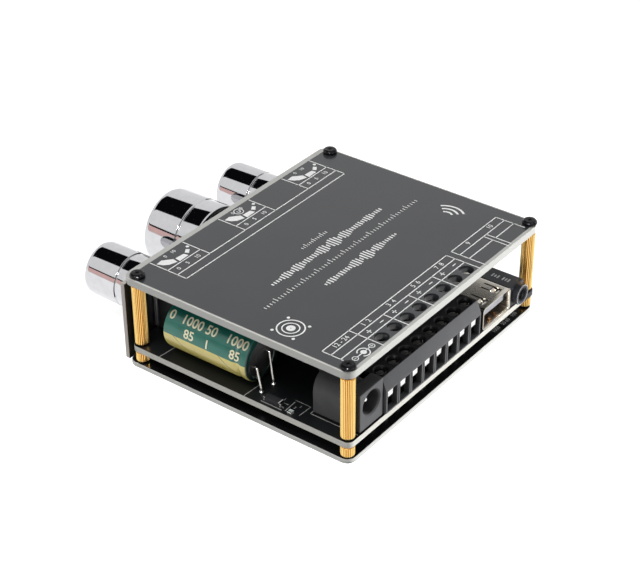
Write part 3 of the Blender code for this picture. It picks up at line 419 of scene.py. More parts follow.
def along(axis, place):
    """A matrix that lays Z along +X, +Y, -Y or +Z and moves it to a place."""
    turn = {"+X": Matrix.Rotation(math.pi / 2, 4, "Y"), "+Y": Matrix.Rotation(-math.pi / 2, 4, "X"),
            "-Y": Matrix.Rotation(math.pi / 2, 4, "X"), "+Z": Matrix.Identity(4)}[axis]
    return Matrix.Translation(place) @ turn


def drilled_sheet(low, high, corner, holes, edge_round=0.12 * mm):
    """A flat plate between two corners, with rounded corners, round holes and soft rims."""
    bm = bmesh.new()
    corners = [bm.verts.new((x, y, low[2])) for x, y in ((low[0], low[1]), (high[0], low[1]),
                                                         (high[0], high[1]), (low[0], high[1]))]
    for k, vert in enumerate(corners):
        bm.edges.new((vert, corners[(k + 1) % 4]))
    bmesh.ops.bevel(bm, geom=corners, offset=corner, segments=10, affect="VERTICES", profile=0.5, material=-1)
    for x, y, radius in holes:
        ring = bmesh.ops.create_circle(bm, cap_ends=False, segments=40, radius=radius)["verts"]
        bmesh.ops.translate(bm, vec=(x, y, low[2]), verts=ring)
    bmesh.ops.triangle_fill(bm, use_beauty=True, use_dissolve=False, edges=bm.edges[:], normal=(0, 0, 1))
    drawn_out(bm, bm.faces[:], (0, 0, high[2] - low[2]))
    bmesh.ops.recalc_face_normals(bm, faces=bm.faces)
    if edge_round:
        rims = [edge for edge in bm.edges if len(edge.link_faces) == 2 and edge.calc_face_angle() > 1.0
                and abs(edge.verts[0].co.z - edge.verts[1].co.z) < 1e-6]
        bmesh.ops.bevel(bm, geom=rims, offset=edge_round, segments=2, **EDGE_BEVEL)
    return bm


def stroke(bm, start, end, width, low, high):
    """Adds a thin flat bar from one (x, y) to another."""
    start, end = Vector(start), Vector(end)
    run = end - start
    verts = bmesh.ops.create_cube(bm, size=1.0)["verts"]
    bmesh.ops.scale(bm, vec=(run.length + width, width, high - low), verts=verts)
    middle = (start + end) / 2
    matrix = (Matrix.Translation((middle.x, middle.y, (low + high) / 2))
              @ Matrix.Rotation(math.atan2(run.y, run.x), 4, "Z"))
    bmesh.ops.transform(bm, matrix=matrix, verts=verts)


def arc_band(bm, centre, inner, outer, start, end, low, high, steps=12):
    """Adds a flat bar that is bent round a centre."""
    base = Vector((*centre, low))
    rows = []
    for step in range(steps + 1):
        angle = math.radians(start + (end - start) * step / steps)
        aim = Vector((math.cos(angle), math.sin(angle), 0))
        rows.append([bm.verts.new(base + aim * inner), bm.verts.new(base + aim * outer)])
    faces = [bm.faces.new((a[0], a[1], b[1], b[0])) for a, b in zip(rows, rows[1:])]
    drawn_out(bm, faces, (0, 0, high - low))


def digits(bm, text, size, matrix, depth, bold=0.0):
    """Adds plain figures, as a thin solid in the XY plane, then placed."""
    curve = bpy.data.curves.new("figures", "FONT")
    curve.body = text
    curve.size = size
    curve.align_x = "CENTER"
    curve.align_y = "CENTER"
    curve.extrude = depth / 2
    curve.offset = bold * size
    writing = put("figures", curve)
    mesh = bpy.data.meshes.new_from_object(writing.evaluated_get(bpy.context.evaluated_depsgraph_get()))
    bpy.data.objects.remove(writing, do_unlink=True)
    before = set(bm.verts)
    bm.from_mesh(mesh)
    bpy.data.meshes.remove(mesh)
    made = [vert for vert in bm.verts if vert not in before]
    bmesh.ops.transform(bm, matrix=matrix, verts=made)


print("mesh helpers ready")

# %% [markdown]
# ## Plastics
#
# The black mouldings are glass-filled nylon: charcoal rather than true black, with a fine
# spark-eroded grain that breaks up their shine. One recipe serves them all. A very small
# noise gives the grain through Bump, and a larger one varies the roughness, because a hand
# or a tool has always polished some places more than others.

# %% Recipes for plastic and metal
GRAIN, GRAIN_DEPTH = 0.09 * mm, 0.004 * mm


def spark_grain(finish):
    """The grain that a spark-eroded mould leaves."""
    finish.bump(finish.noise(GRAIN, detail=1.0), GRAIN_DEPTH, 0.5)


def plastic(name, colour, roughness, blotch=2.5 * mm, shine=0.2):
    finish = Finish(name, colour, roughness, Specular_IOR_Level=shine)
    wear_and_painted_shade = finish.noise(blotch, detail=3.0)
    finish.set("Roughness", wear_and_painted_shade * 0.16 + (roughness - 0.08))
    finish.set("Base Color", finish.cloudy(wear_and_painted_shade, colour, 0.82, 1.2))
    spark_grain(finish)
    return finish.material


def metal(name, colour, roughness, streak=(1, 1, 1), size=0.4 * mm, depth=0.002 * mm):
    finish = Finish(name, colour, roughness, metallic=1.0)
    brushed = finish.noise(size, detail=4.0, stretch=streak)
    patina = finish.noise(3.0 * mm, detail=2.0)
    finish.set("Roughness", brushed * 0.2 + (roughness - 0.1))
    finish.set("Base Color", finish.cloudy(patina, colour, 0.86))
    finish.bump(brushed, depth, 0.35)
    return finish.material


black_plastic = plastic("black_plastic", (0.030, 0.031, 0.033), 0.5)
print("plastics and metals ready")

# %% [markdown]
# ## The top plate
#
# It is laser-cut acrylic, 2 mm thick, printed dark grey underneath but for a bright clear
# margin round the rim. Light that enters the sheet leaves at its cut edges, so they look
# almost white. One mask does it: inside the margin the colour is the print, outside it the
# pale acrylic. The screwdriver holes lie inside the margin and keep dark walls.

# %% Build the printed top plate
PLATE_CORNER = 2.5 * mm
PRINT_CORNER = 1.6 * mm
DRIVER_RADIUS = 1.75 * mm
SCREW_HOLE_RADIUS = 1.2 * mm
PRINT_GREY = (0.030, 0.032, 0.035)
CUT_PALE, MARGIN_PALE = (0.43, 0.43, 0.41), (0.42, 0.42, 0.40)

plate_low, plate_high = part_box("top_plate")
half_x = plate_high.x
print_low = (plate_low.x + 0.45 * mm, plate_low.y + 1.6 * mm)
print_high = (plate_high.x - 0.45 * mm, plate_high.y - 0.95 * mm)
post_places = [middle_of(f"tall_standoff_{k}") for k in range(1, 5)]
pole_boxes = [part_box(f"terminal_screw_{k}") for k in range(1, 9)]
pole_places = [(low + high) / 2 for low, high in pole_boxes]


def beyond(finish, low, high, corner, soft=0.04 * mm):
    """0 inside a rectangle with round corners, 1 outside it."""
    centre = ((low[0] + high[0]) / 2, (low[1] + high[1]) / 2, 0)
    x, y, _ = finish.xyz(centre=centre)
    across = abs(x) - (high[0] - centre[0] - corner)
    lengthways = abs(y) - (high[1] - centre[1] - corner)
    inside = across.do("MAXIMUM", lengthways).do("MINIMUM", 0.0)
    across, lengthways = across.do("MAXIMUM", 0.0), lengthways.do("MAXIMUM", 0.0)
    bend = (across * across + lengthways * lengthways).do("SQRT")
    return finish.step(bend + inside - corner, -soft, soft)


def printed_acrylic(name, ink, cut, margin, top, low, high, corner, roughness):
    """Ink inside the margin, a pale margin on top and pale sawn sides."""
    finish = Finish(name, ink, roughness, Specular_IOR_Level=0.5)
    cloud = finish.noise(14 * mm, detail=2.0)
    inked = finish.cloudy(cloud, ink, 0.85, 1.15)
    x, _, height = finish.xyz()
    # Along the left and right rims the top margin is painted 1.7 times lighter: a painted highlight.
    side = finish.step(abs(x), half_x - 0.3 * mm, half_x - 0.1 * mm)
    margin_with_painted_rim_highlight = finish.mix(side, margin, tuple(1.7 * part for part in margin))
    pale = finish.mix(finish.step(height, top - 0.10 * mm, top - 0.03 * mm), cut, margin_with_painted_rim_highlight)
    finish.set("Base Color", finish.mix(beyond(finish, low, high, corner), inked, pale))
    scratches = finish.noise(0.25 * mm, detail=3.0, stretch=(1, 0.06, 1))
    finish.set("Roughness", scratches * 0.10 + (roughness - 0.05))
    finish.bump(scratches, 0.0008 * mm, 0.3)
    return finish.material


top_finish = printed_acrylic("printed_acrylic", PRINT_GREY, CUT_PALE, MARGIN_PALE, plate_high.z, print_low,
                             print_high, PRINT_CORNER, 0.22)
post_holes = [(spot.x, spot.y, SCREW_HOLE_RADIUS) for spot in post_places]
driver_holes = [(spot.x, spot.y, DRIVER_RADIUS) for spot in pole_places]
top_sheet = drilled_sheet(plate_low, plate_high, PLATE_CORNER, post_holes + driver_holes)
finish_piece("printed_top_plate", top_sheet, top_finish, ["top_plate"])

# %% [markdown]
# ## The white print
#
# The plate carries fine white frames for the controls and the sockets. Each line is a bar a
# quarter of a millimetre wide that stands a few hundredths proud, so that it stays crisp
# from any side. The words of the original are left out. Their places hold plain figures, a
# level wave and rows of ticks, which any amplifier could wear.

# %% Draw the frames and marks
LINE = 0.26 * mm
INK_SINK, INK_RISE = 0.03 * mm, 0.02 * mm
ink_low, ink_high = plate_high.z - INK_SINK, plate_high.z + INK_RISE
INK_WHITE = (0.88, 0.89, 0.88)

knob_xs = [middle_of(f"{side}_knob").x for side in SIDES]
BOX_HALF = 6.0 * mm
BOX_FRONT = print_low[1] + 0.35 * mm
LABEL_Y, BAND_FRONT, BAND_REAR = -27.0 * mm, -23.9 * mm, -21.1 * mm
band_right, band_left = knob_xs[0] + BOX_HALF, knob_xs[2] - BOX_HALF


def ink_line(bm, x0, y0, x1, y1, width=LINE):
    stroke(bm, (x0, y0), (x1, y1), width, ink_low, ink_high)


def control_frames(bm):
    """A box with a growing sweep for each knob, and the band that joins them."""
    for x in knob_xs:
        for side in (x - BOX_HALF, x + BOX_HALF):
            ink_line(bm, side, BOX_FRONT, side, BAND_FRONT)
        ink_line(bm, x - BOX_HALF, LABEL_Y, x + BOX_HALF, LABEL_Y)
        growing_sweep(bm, x)
        figures(bm, "0    10", x, -31.6 * mm, 1.5 * mm)
    for y in (BAND_FRONT, BAND_REAR):
        ink_line(bm, band_left, y, band_right, y)
    for x in (band_left, band_right):
        ink_line(bm, x, BAND_FRONT, x, BAND_REAR)
    centre = (knob_xs[1], -31.0 * mm)
    arc_band(bm, centre, 1.15 * mm, 1.35 * mm, 0, 360, ink_low, ink_high, steps=32)
    arc_band(bm, centre, 0.35 * mm, 0.55 * mm, -60, 240, ink_low, ink_high, steps=20)


SWEEP = (((-3.98, -29.9), (-2.6, -29.1), (-3.12, -28.1), (-4.5, -29.1)),
         ((0.75, -29.15), (0.98, -27.45), (-2.28, -27.6), (-2.05, -28.9)),
         ((5.5, -31.0), (4.9, -29.5), (3.8, -28.4), (1.6, -27.7), (1.3, -29.3), (3.6, -31.2)))


def growing_sweep(bm, x):
    """A dot and three bars that swell from thin to thick, as round a volume knob."""
    arc_band(bm, (x - 5.15 * mm, -30.4 * mm), 0.05 * mm, 0.45 * mm, 0, 360, ink_low, ink_high)
    for outline in SWEEP:
        face = bm.faces.new([bm.verts.new((x + u * mm, v * mm, ink_low)) for u, v in outline])
        drawn_out(bm, [face], (0, 0, ink_high - ink_low))


def figures(bm, text, x, y, size):
    """Plain figures that read from the rear, as the print does."""
    matrix = Matrix.Translation((x, y, plate_high.z)) @ Matrix.Rotation(math.pi, 4, "Z")
    digits(bm, text, size, matrix, 2 * INK_RISE)


print_marks = bmesh.new()
control_frames(print_marks)
print("control frames:", len(print_marks.faces), "faces")

# %% [markdown]
# The rear frames follow the sockets below them. Their column lines fall midway between
# pairs of terminals, and each terminal has its plus or minus sign.

# %% Draw the socket frames, signs and figures
REAR_LINES = (22.6 * mm, 25.1 * mm, 27.8 * mm)
FRAME_END = 32.2 * mm
TITLE_SIZE = 1.9 * mm
pitch = pole_places[0].x - pole_places[1].x
first_edge = pole_places[0].x + pitch / 2
jack_low, jack_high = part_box("dc_jack_housing")
usb_low, usb_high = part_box("usb_shell")
socket_low, socket_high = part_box("audio_jack")


def socket_frames(bm):
    right = jack_high.x + 0.8 * mm
    left = first_edge - 8 * pitch
    for y in REAR_LINES:
        ink_line(bm, left, y, right, y)
    ink_line(bm, right, REAR_LINES[0], right, FRAME_END)
    ink_line(bm, left, REAR_LINES[0], left, FRAME_END)
    ink_line(bm, first_edge, REAR_LINES[0], first_edge, FRAME_END)
    for column in (2, 4, 6):
        ink_line(bm, first_edge - column * pitch, REAR_LINES[1], first_edge - column * pitch, FRAME_END)

    far_right, far_left = usb_high.x - 0.6 * mm, socket_low.x - 1.9 * mm
    divide = (usb_low.x + socket_high.x) / 2 + 1.7 * mm
    beside = divide - 1.3 * mm
    ink_line(bm, far_left, REAR_LINES[0], far_right, REAR_LINES[0])
    ink_line(bm, far_left, REAR_LINES[1], far_right, REAR_LINES[1])
    ink_line(bm, divide, REAR_LINES[2], far_right, REAR_LINES[2])
    ink_line(bm, far_left, REAR_LINES[2], beside, REAR_LINES[2])
    ink_line(bm, far_right, REAR_LINES[0], far_right, FRAME_END)
    ink_line(bm, divide, REAR_LINES[1], divide, FRAME_END)
    ink_line(bm, beside, REAR_LINES[1], beside, FRAME_END)
    ink_line(bm, far_left, REAR_LINES[0], far_left, 30.8 * mm)


def polarity_signs(bm):
    """A plus or a minus for each terminal, in the row in front of its hole."""
    arm = 0.55 * mm
    y = (REAR_LINES[1] + REAR_LINES[2]) / 2
    for k, spot in enumerate(pole_places):
        ink_line(bm, spot.x - arm, y, spot.x + arm, y)
        if k % 2 == 0:
            ink_line(bm, spot.x, y - arm, spot.x, y + arm)


def barrel_sign(bm, x, y):
    """The usual sign of a barrel plug: a dot in an open ring, with plus and minus at its ends."""
    arc_band(bm, (x, y), 0.05 * mm, 0.75 * mm, 0, 360, ink_low, ink_high, steps=24)
    arc_band(bm, (x, y), 1.35 * mm, 1.65 * mm, 35, 325, ink_low, ink_high, steps=30)
    reach, arm, fine = 3.1 * mm, 0.3 * mm, 0.18 * mm
    for side in (-1, 1):
        ink_line(bm, x + side * 0.9 * mm, y, x + side * 2.3 * mm, y)
        arc_band(bm, (x + side * reach, y), 0.62 * mm, 0.82 * mm, 0, 360, ink_low, ink_high, steps=24)
        ink_line(bm, x + side * reach - arm, y, x + side * reach + arm, y, fine)
    ink_line(bm, x - reach, y - arm, x - reach, y + arm, fine)


def figures_in_frames(bm):
    title_y = (REAR_LINES[0] + REAR_LINES[1]) / 2
    titles = [(f"{2 * k + 1}  {2 * k + 2}", first_edge - (2 * k + 1) * pitch) for k in range(4)]
    titles += [("12 - 24", (first_edge + jack_high.x) / 2), ("9", (usb_low.x + usb_high.x) / 2),
               ("10", (socket_low.x + socket_high.x) / 2)]
    for text, x in titles:
        figures(bm, text, x, title_y, TITLE_SIZE)
    label_y = (LABEL_Y + BAND_FRONT) / 2
    for x in knob_xs:
        figures(bm, "0     5     10", x, label_y, 1.7 * mm)


socket_frames(print_marks)
polarity_signs(print_marks)
barrel_sign(print_marks, (jack_low.x + jack_high.x) / 2, 30.2 * mm)
figures_in_frames(print_marks)
print("with the socket frames:", len(print_marks.faces), "faces")

# %% [markdown]
# The middle of the plate has four rows of print of different weight. Here they are two waves
# of level bars and two rows of ticks, a long one between the waves and a short one in front.

# %% Draw the wave, the scale and the ticks


def level_wave(bm, y, half_length, tallest, spacing):
    """Upright bars whose heights follow a slow swell times a fast one."""
    count = int(half_length / spacing)
    for k in range(-count, count + 1):
        swell = math.cos(0.5 * math.pi * k / (count + 1)) ** 0.6
        height = tallest * swell * (0.28 + 0.72 * abs(math.sin(0.62 * k) * math.cos(0.17 * k + 0.4)))
        x = k * spacing
        ink_line(bm, x, y - height / 2, x, y + height / 2, 0.42 * mm)


def tick_row(bm, y, half_length, spacing, short, tall, every):
    count = int(half_length / spacing)
    for k in range(-count, count + 1):
        height = tall if k % every == 0 else short
        ink_line(bm, k * spacing, y, k * spacing, y - height, 0.2 * mm)


level_wave(print_marks, -3.0 * mm, 22.7 * mm, 3.4 * mm, 0.95 * mm)
tick_row(print_marks, 2.2 * mm, 31.8 * mm, 1.06 * mm, 0.7 * mm, 1.4 * mm, 5)
level_wave(print_marks, 7.0 * mm, 14.6 * mm, 3.2 * mm, 0.95 * mm)
tick_row(print_marks, -7.0 * mm, 5.5 * mm, 0.8 * mm, 0.6 * mm, 1.2 * mm, 4)


def speaker_sign(bm, x, y):
    """A loudspeaker seen from the front: a cone, a ring and four screws."""
    for inner, outer in ((0.15, 1.1), (1.9, 2.2), (3.1, 3.45)):
        arc_band(bm, (x, y), inner * mm, outer * mm, 0, 360, ink_low, ink_high, steps=40)
    for turn in range(4):
        angle = math.radians(45 + 90 * turn)
        place = (x + 4.3 * mm * math.cos(angle), y + 4.3 * mm * math.sin(angle))
        arc_band(bm, place, 0.05 * mm, 0.4 * mm, 0, 360, ink_low, ink_high, steps=12)


def sound_sign(bm, x, y):
    """Three growing arcs, as sound is often drawn."""
    for k in range(3):
        radius = (1.6 + 1.5 * k) * mm
        arc_band(bm, (x, y), radius, radius + 0.55 * mm, 135, 225, ink_low, ink_high, steps=16)


speaker_sign(print_marks, 33.6 * mm, 11.5 * mm)
sound_sign(print_marks, -29.0 * mm, 11.8 * mm)


def ink(name, colour):
    finish = Finish(name, colour, 0.5)
    finish.set("Base Color", finish.cloudy(finish.noise(0.4 * mm, detail=3.0), colour))
    return finish.material


white_ink = ink("white_ink", INK_WHITE)
finish_piece("white_print", print_marks, white_ink)

# %% [markdown]
# ## Cutting one shape out of another
#
# A cross recess, a wire window or a socket's mouth could be modelled face by face, but a
# Boolean cut says what the tool does: here is the block, here is what the mould's core takes
# away. Both shapes become short-lived objects, and the result comes back as a bmesh.

# %% A Boolean helper


def guide(bm, name):
    """A short-lived object with a closed, outward-facing mesh."""
    bmesh.ops.remove_doubles(bm, verts=bm.verts, dist=MERGE)
    bmesh.ops.recalc_face_normals(bm, faces=bm.faces)
    return put(name, mesh_of(bm, name))


def carve(bm, cutter, operation="DIFFERENCE"):
    """The first shape with the second cut out of it, or joined to it."""
    body, tool = guide(bm, "carved"), guide(cutter, "cutter")
    change = body.modifiers.new("cut", "BOOLEAN")
    change.operation = operation
    change.solver = "EXACT"
    change.object = tool
    evaluated = body.evaluated_get(bpy.context.evaluated_depsgraph_get())
    mesh = bpy.data.meshes.new_from_object(evaluated)
    out = bmesh.new()
    out.from_mesh(mesh)
    bpy.data.meshes.remove(mesh)
    for thing in (body, tool):
        bpy.data.objects.remove(thing, do_unlink=True)
    return out


def blocks(*corner_pairs, rounding=0.0):
    bm = bmesh.new()
    for low, high in corner_pairs:
        block(bm, low, high, rounding)
    return bm


def prism(outline, axis, low, high, rounding=0.0, segments=2):
    """A flat outline drawn out along X or Z, with its edges rounded."""
    bm = bmesh.new()
    spot = {"X": lambda u, v: (low, u, v), "Z": lambda u, v: (u, v, low)}[axis]
    face = bm.faces.new([bm.verts.new(spot(u, v)) for u, v in outline])
    drawn_out(bm, [face], (high - low, 0, 0) if axis == "X" else (0, 0, high - low))
    bmesh.ops.recalc_face_normals(bm, faces=bm.faces)
    if rounding:
        bmesh.ops.bevel(bm, geom=bm.edges[:], offset=rounding, segments=segments, **EDGE_BEVEL)
    return bm


def merged(bm, other):
    """Adds a second bmesh to the first."""
    bmesh.ops.recalc_face_normals(other, faces=other.faces)
    mesh = mesh_of(other, "merged")
    bm.from_mesh(mesh)
    bpy.data.meshes.remove(mesh)
    return bm


print("cutting helpers ready")

# %% [markdown]
# ## The base plate and the front panel
#
# The base is a thinner acrylic sheet, black on top, whose cut edge shows as a light line.
# The panel in front is a thin black sheet, and its sawn edge is a dull grey. Both are made
# like the top plate. The panel is drawn lying down and then stood up.

# %% Build the base plate and the front panel
base_low, base_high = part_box("bottom_plate")
BASE_RIM = 0.10 * mm
BASE_BLACK, BASE_CUT = (0.008, 0.008, 0.009), (0.50, 0.50, 0.48)
base_finish = printed_acrylic("base_acrylic", BASE_BLACK, BASE_CUT, MARGIN_PALE, base_high.z,
                              (base_low.x + BASE_RIM, base_low.y + BASE_RIM),
                              (base_high.x - BASE_RIM, base_high.y - BASE_RIM), PLATE_CORNER - BASE_RIM, 0.25)
finish_piece("base_plate", drilled_sheet(base_low, base_high, PLATE_CORNER, post_holes), base_finish,
             ["bottom_plate"])

base_marks = bmesh.new()
for text, x in (("1000", -24.6 * mm), ("50 60", -29.0 * mm), ("100", -33.0 * mm)):
    matrix = Matrix.Translation((x, 31.25 * mm, base_high.z)) @ Matrix.Rotation(math.pi, 4, "Z")
    digits(base_marks, text, 1.5 * mm, matrix, 0.04 * mm)
finish_piece("base_marks", base_marks, ink("base_ink", (0.60, 0.60, 0.58)))

panel_low, panel_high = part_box("front_panel")
panel_thickness = panel_high.y - panel_low.y
knob_z = middle_of("middle_knob").z
BUSHING_HOLE = 3.8 * mm
PANEL_BLACK = (0.014, 0.014, 0.015)


def panel_finish():
    finish = Finish("panel_sheet", PANEL_BLACK, 0.32)
    x, y, z = finish.xyz()
    middle_z, half_z = (panel_low.z + panel_high.z) / 2, (panel_high.z - panel_low.z) / 2
    sawn = (abs(x) - half_x).do("MAXIMUM", abs(z - middle_z) - half_z)
    edge = finish.step(sawn, -0.12 * mm, -0.02 * mm)
    fibres = finish.noise(0.15 * mm, detail=3.0, stretch=(0.2, 1, 1))
    core = finish.mix(fibres, (0.34, 0.315, 0.295), (0.56, 0.52, 0.48))
    finish.set("Base Color", finish.mix(edge, PANEL_BLACK, core))
    finish.set("Roughness", edge * 0.35 + (fibres * 0.08 + 0.26))
    return finish.material


flat_low = Vector((panel_low.x, panel_low.z, 0.0))
flat_high = Vector((panel_high.x, panel_high.z, panel_thickness))
panel = drilled_sheet(flat_low, flat_high, 0.3 * mm, [(x, knob_z, BUSHING_HOLE) for x in knob_xs], 0.06 * mm)
stand_up = Matrix.Translation((0, panel_high.y, 0)) @ Matrix.Rotation(math.pi / 2, 4, "X")
bmesh.ops.transform(panel, matrix=stand_up, verts=panel.verts)
finish_piece("panel_sheet", panel, panel_finish(), ["front_panel"])

# %% [markdown]
# ## Knurled standoffs
#
# Brass rods are drawn through a die that leaves straight flutes, then cut and chamfered. A
# profile is turned first. Then every third vertex round the waist moves in, which leaves
# broad ridges between narrow grooves, as on the real ones.

# %% Turn and flute the standoffs
FLUTES = 24
FLUTE_DEPTH = 0.19 * mm
CHAMFER = 0.3 * mm
SCREW_BORE = 1.15 * mm
STUD_RADIUS = 0.85 * mm


def brass_finish(place, radius):
    """Bright ridges, with the flutes between them painted dark as shade. The four posts lie alike in the four
    quarters.
    """
    finish = Finish("knurled_brass", (0.74, 0.45, 0.16), 0.3, metallic=1.0)
    x, y, _ = finish.xyz()
    x, y = abs(x) - abs(place.x), abs(y) - abs(place.y)
    reach = (x * x + y * y).do("SQRT")
    ridge = finish.step(reach, radius - 0.13 * mm, radius - 0.02 * mm)
    streaks = finish.noise(0.3 * mm, detail=2.0, stretch=(1, 1, 0.002))
    stain = finish.noise(2.4 * mm, detail=2.0)
    bright = finish.mix(streaks, (0.86, 0.55, 0.15), (1.0, 0.80, 0.34))
    # Below the ridges the colour falls to dark brown: painted shade in the flutes.
    ridges_and_painted_groove_shade = finish.mix(ridge, (0.52, 0.25, 0.05), bright)
    finish.set("Base Color", finish.mix(stain * 0.15, ridges_and_painted_groove_shade, (0.52, 0.28, 0.09)))
    finish.set("Roughness", streaks * 0.15 + 0.2)
    finish.bump(stain, 0.010 * mm, 0.4)
    return finish.material


def fluted(bm, place, radius):
    """Moves every third vertex of the outer wall inwards."""
    for vert in bm.verts:
        spoke = Vector((vert.co.x - place[0], vert.co.y - place[1]))
        if abs(spoke.length - radius) < 1e-5:
            step = round(math.atan2(spoke.y, spoke.x) / math.tau * 3 * FLUTES)
            if step % 3 == 0:
                spoke *= 1 - FLUTE_DEPTH / radius
                vert.co.xy = (place[0] + spoke.x, place[1] + spoke.y)
    return bm


post_low, post_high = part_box("tall_standoff_1")
brass = brass_finish(post_places[0], (post_high.x - post_low.x) / 2)
SHORT_POST, SCREW_ROOM = 2.8 * mm, 2.0 * mm
for k in range(1, 5):
    low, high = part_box(f"tall_standoff_{k}")
    radius, length = (high.x - low.x) / 2, high.z - low.z
    place = ((low.x + high.x) / 2, (low.y + high.y) / 2, low.z)
    tube = [(SCREW_BORE, 0), (radius - CHAMFER, 0), (radius, CHAMFER), (radius, length - CHAMFER),
            (radius - CHAMFER, length), (SCREW_BORE, length)]
    bm = spun(tube, 3 * FLUTES, along("+Z", place), closed=True)
    finish_piece(f"tall_post_{k}", fluted(bm, place, radius), brass, [f"tall_standoff_{k}"])

    low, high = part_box(f"short_standoff_{k}")
    rise, tip = SHORT_POST, high.z - low.z
    place = (place[0], place[1], low.z)
    stud = [(0, SCREW_ROOM), (SCREW_BORE, SCREW_ROOM), (SCREW_BORE, 0), (radius - CHAMFER, 0),
            (radius, CHAMFER), (radius, rise - CHAMFER), (radius - CHAMFER, rise), (STUD_RADIUS, rise),
            (STUD_RADIUS, tip), (0, tip)]
    bm = spun(stud, 3 * FLUTES, along("+Z", place))
    finish_piece(f"short_post_{k}", fluted(bm, place, radius), brass, [f"short_standoff_{k}"])

# %% [markdown]
# ## Screws
#
# The top screws are small pan heads in black oxide with a cross recess. The head is a turned
# profile with a rounded shoulder, and the recess is cut by two crossed bars that taper
# towards the bottom, like the punch that forms it.

# %% Make the pan-head and countersunk screws
RECESS_ARM = 0.92 * mm
RECESS_WIDTH = 0.40 * mm
RECESS_DEPTH = 0.65 * mm
SCREW_SIDES = 40


def tapered_bar(wide, deep, place, top):
    """A bar that narrows towards its lower end, as one arm of the punch."""
    bm = bmesh.new()
    verts = bmesh.ops.create_cube(bm, size=2.0)["verts"]
    bmesh.ops.scale(bm, vec=(wide, deep, RECESS_DEPTH), verts=verts)
    bmesh.ops.scale(bm, vec=(0.35, 0.35, 1.0), verts=[vert for vert in verts if vert.co.z < 0])
    bmesh.ops.translate(bm, vec=(place[0], place[1], top), verts=verts)
    return bm


def recess(bm, place, top):
    """Cuts the cross recess, one arm at a time."""
    for wide, deep in ((RECESS_ARM, RECESS_WIDTH / 2), (RECESS_WIDTH / 2, RECESS_ARM)):
        bm = carve(bm, tapered_bar(wide, deep, place, top))
    return bm


oxide = Finish("black_oxide", (0.020, 0.020, 0.022), 0.3, metallic=1.0)
oxide_wear = oxide.noise(0.5 * mm, detail=4.0)
worn_spots = oxide.step(oxide_wear, 0.55, 0.75)
oxide.set("Base Color", oxide.mix(worn_spots, (0.014, 0.014, 0.016), (0.16, 0.155, 0.15)))
oxide.set("Roughness", oxide_wear * 0.2 + 0.1)
oxide.bump(oxide_wear, 0.006 * mm, 0.4)

for k, spot in enumerate(post_places, 1):
    low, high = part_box(f"top_screw_{k}")
    radius = (high.x - low.x) / 2
    seat = plate_high.z + 0.3 * mm
    head, shank = high.z - seat, low.z - seat
    pan = [(0, head), (radius - 0.35 * mm, head, 0.25 * mm), (radius, head * 0.45, 0.2 * mm),
           (radius, 0.02 * mm), (radius - 0.1 * mm, 0), (STUD_RADIUS, 0), (STUD_RADIUS, shank), (0, shank)]
    place = (spot.x, spot.y, seat)
    bm = recess(spun(pan, SCREW_SIDES, along("+Z", place)), place, high.z)
    finish_piece(f"pan_screw_{k}", bm, oxide.material, [f"top_screw_{k}"])

    low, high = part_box(f"bottom_screw_{k}")
    wide = (high.x - low.x) / 2
    flat = [(0, 0), (wide, 0), (wide, 0.08 * mm), (STUD_RADIUS, wide - STUD_RADIUS + 0.08 * mm),
            (STUD_RADIUS, high.z - low.z), (0, high.z - low.z)]
    place = (spot.x, spot.y, low.z)
    bm = recess(spun(flat, SCREW_SIDES, along("+Z", place)), place, low.z)
    finish_piece(f"flat_screw_{k}", bm, oxide.material, [f"bottom_screw_{k}"])

# %% [markdown]
# ## Chrome knobs
#
# Each knob is an aluminium cup, turned, ring-grooved and chromed. Chrome is a mirror, so the
# material needs little. The shape must be right instead: a small chamfer at the front, a
# crisp ring groove, and a thin rear rim. Faint haze in the roughness keeps it from looking
# computed.

# %% Spin the knobs
KNOB_SIDES = 128
KNOB_GROOVE_AT = 5.8 * mm
KNOB_WALL = 1.1 * mm
KNOB_CAVITY = 5.0 * mm
HUB_RADIUS = 4.6 * mm
HUB_RECESS = 1.3 * mm
SHAFT_RADIUS = 3.0 * mm
SHAFT_FLAT = 1.5 * mm
BORE_ROOM = 0.3 * mm
GROOVE_DEPTH, GROOVE_MOUTH, GROOVE_FLOOR = 0.4 * mm, 0.42 * mm, 0.22 * mm


def chrome_finish():
    finish = Finish("knob_chrome", (0.68, 0.68, 0.70), 0.045, metallic=1.0)
    haze = finish.noise(2.2 * mm, detail=4.0)
    turning = finish.noise(0.05 * mm, detail=1.0, stretch=(0.02, 1, 0.02))
    finish.set("Roughness", haze * 0.05 + 0.03)
    finish.set("Base Color", finish.mix(haze, (0.52, 0.52, 0.535), (0.64, 0.64, 0.66)))
    finish.bump(turning, 0.0002 * mm, 0.25)
    return finish.material


def flatted_bore(place, radius, flat, start, end):
    """A D-shaped rod along the knob's axis, for its bore."""
    bm = bmesh.new()
    for vert in bmesh.ops.create_circle(bm, cap_ends=True, segments=48, radius=radius)["verts"]:
        vert.co.y = min(vert.co.y, flat)
    drawn_out(bm, bm.faces[:], (0, 0, end - start))
    bmesh.ops.translate(bm, vec=(0, 0, start), verts=bm.verts)
    bmesh.ops.transform(bm, matrix=along("-Y", place), verts=bm.verts)
    return bm


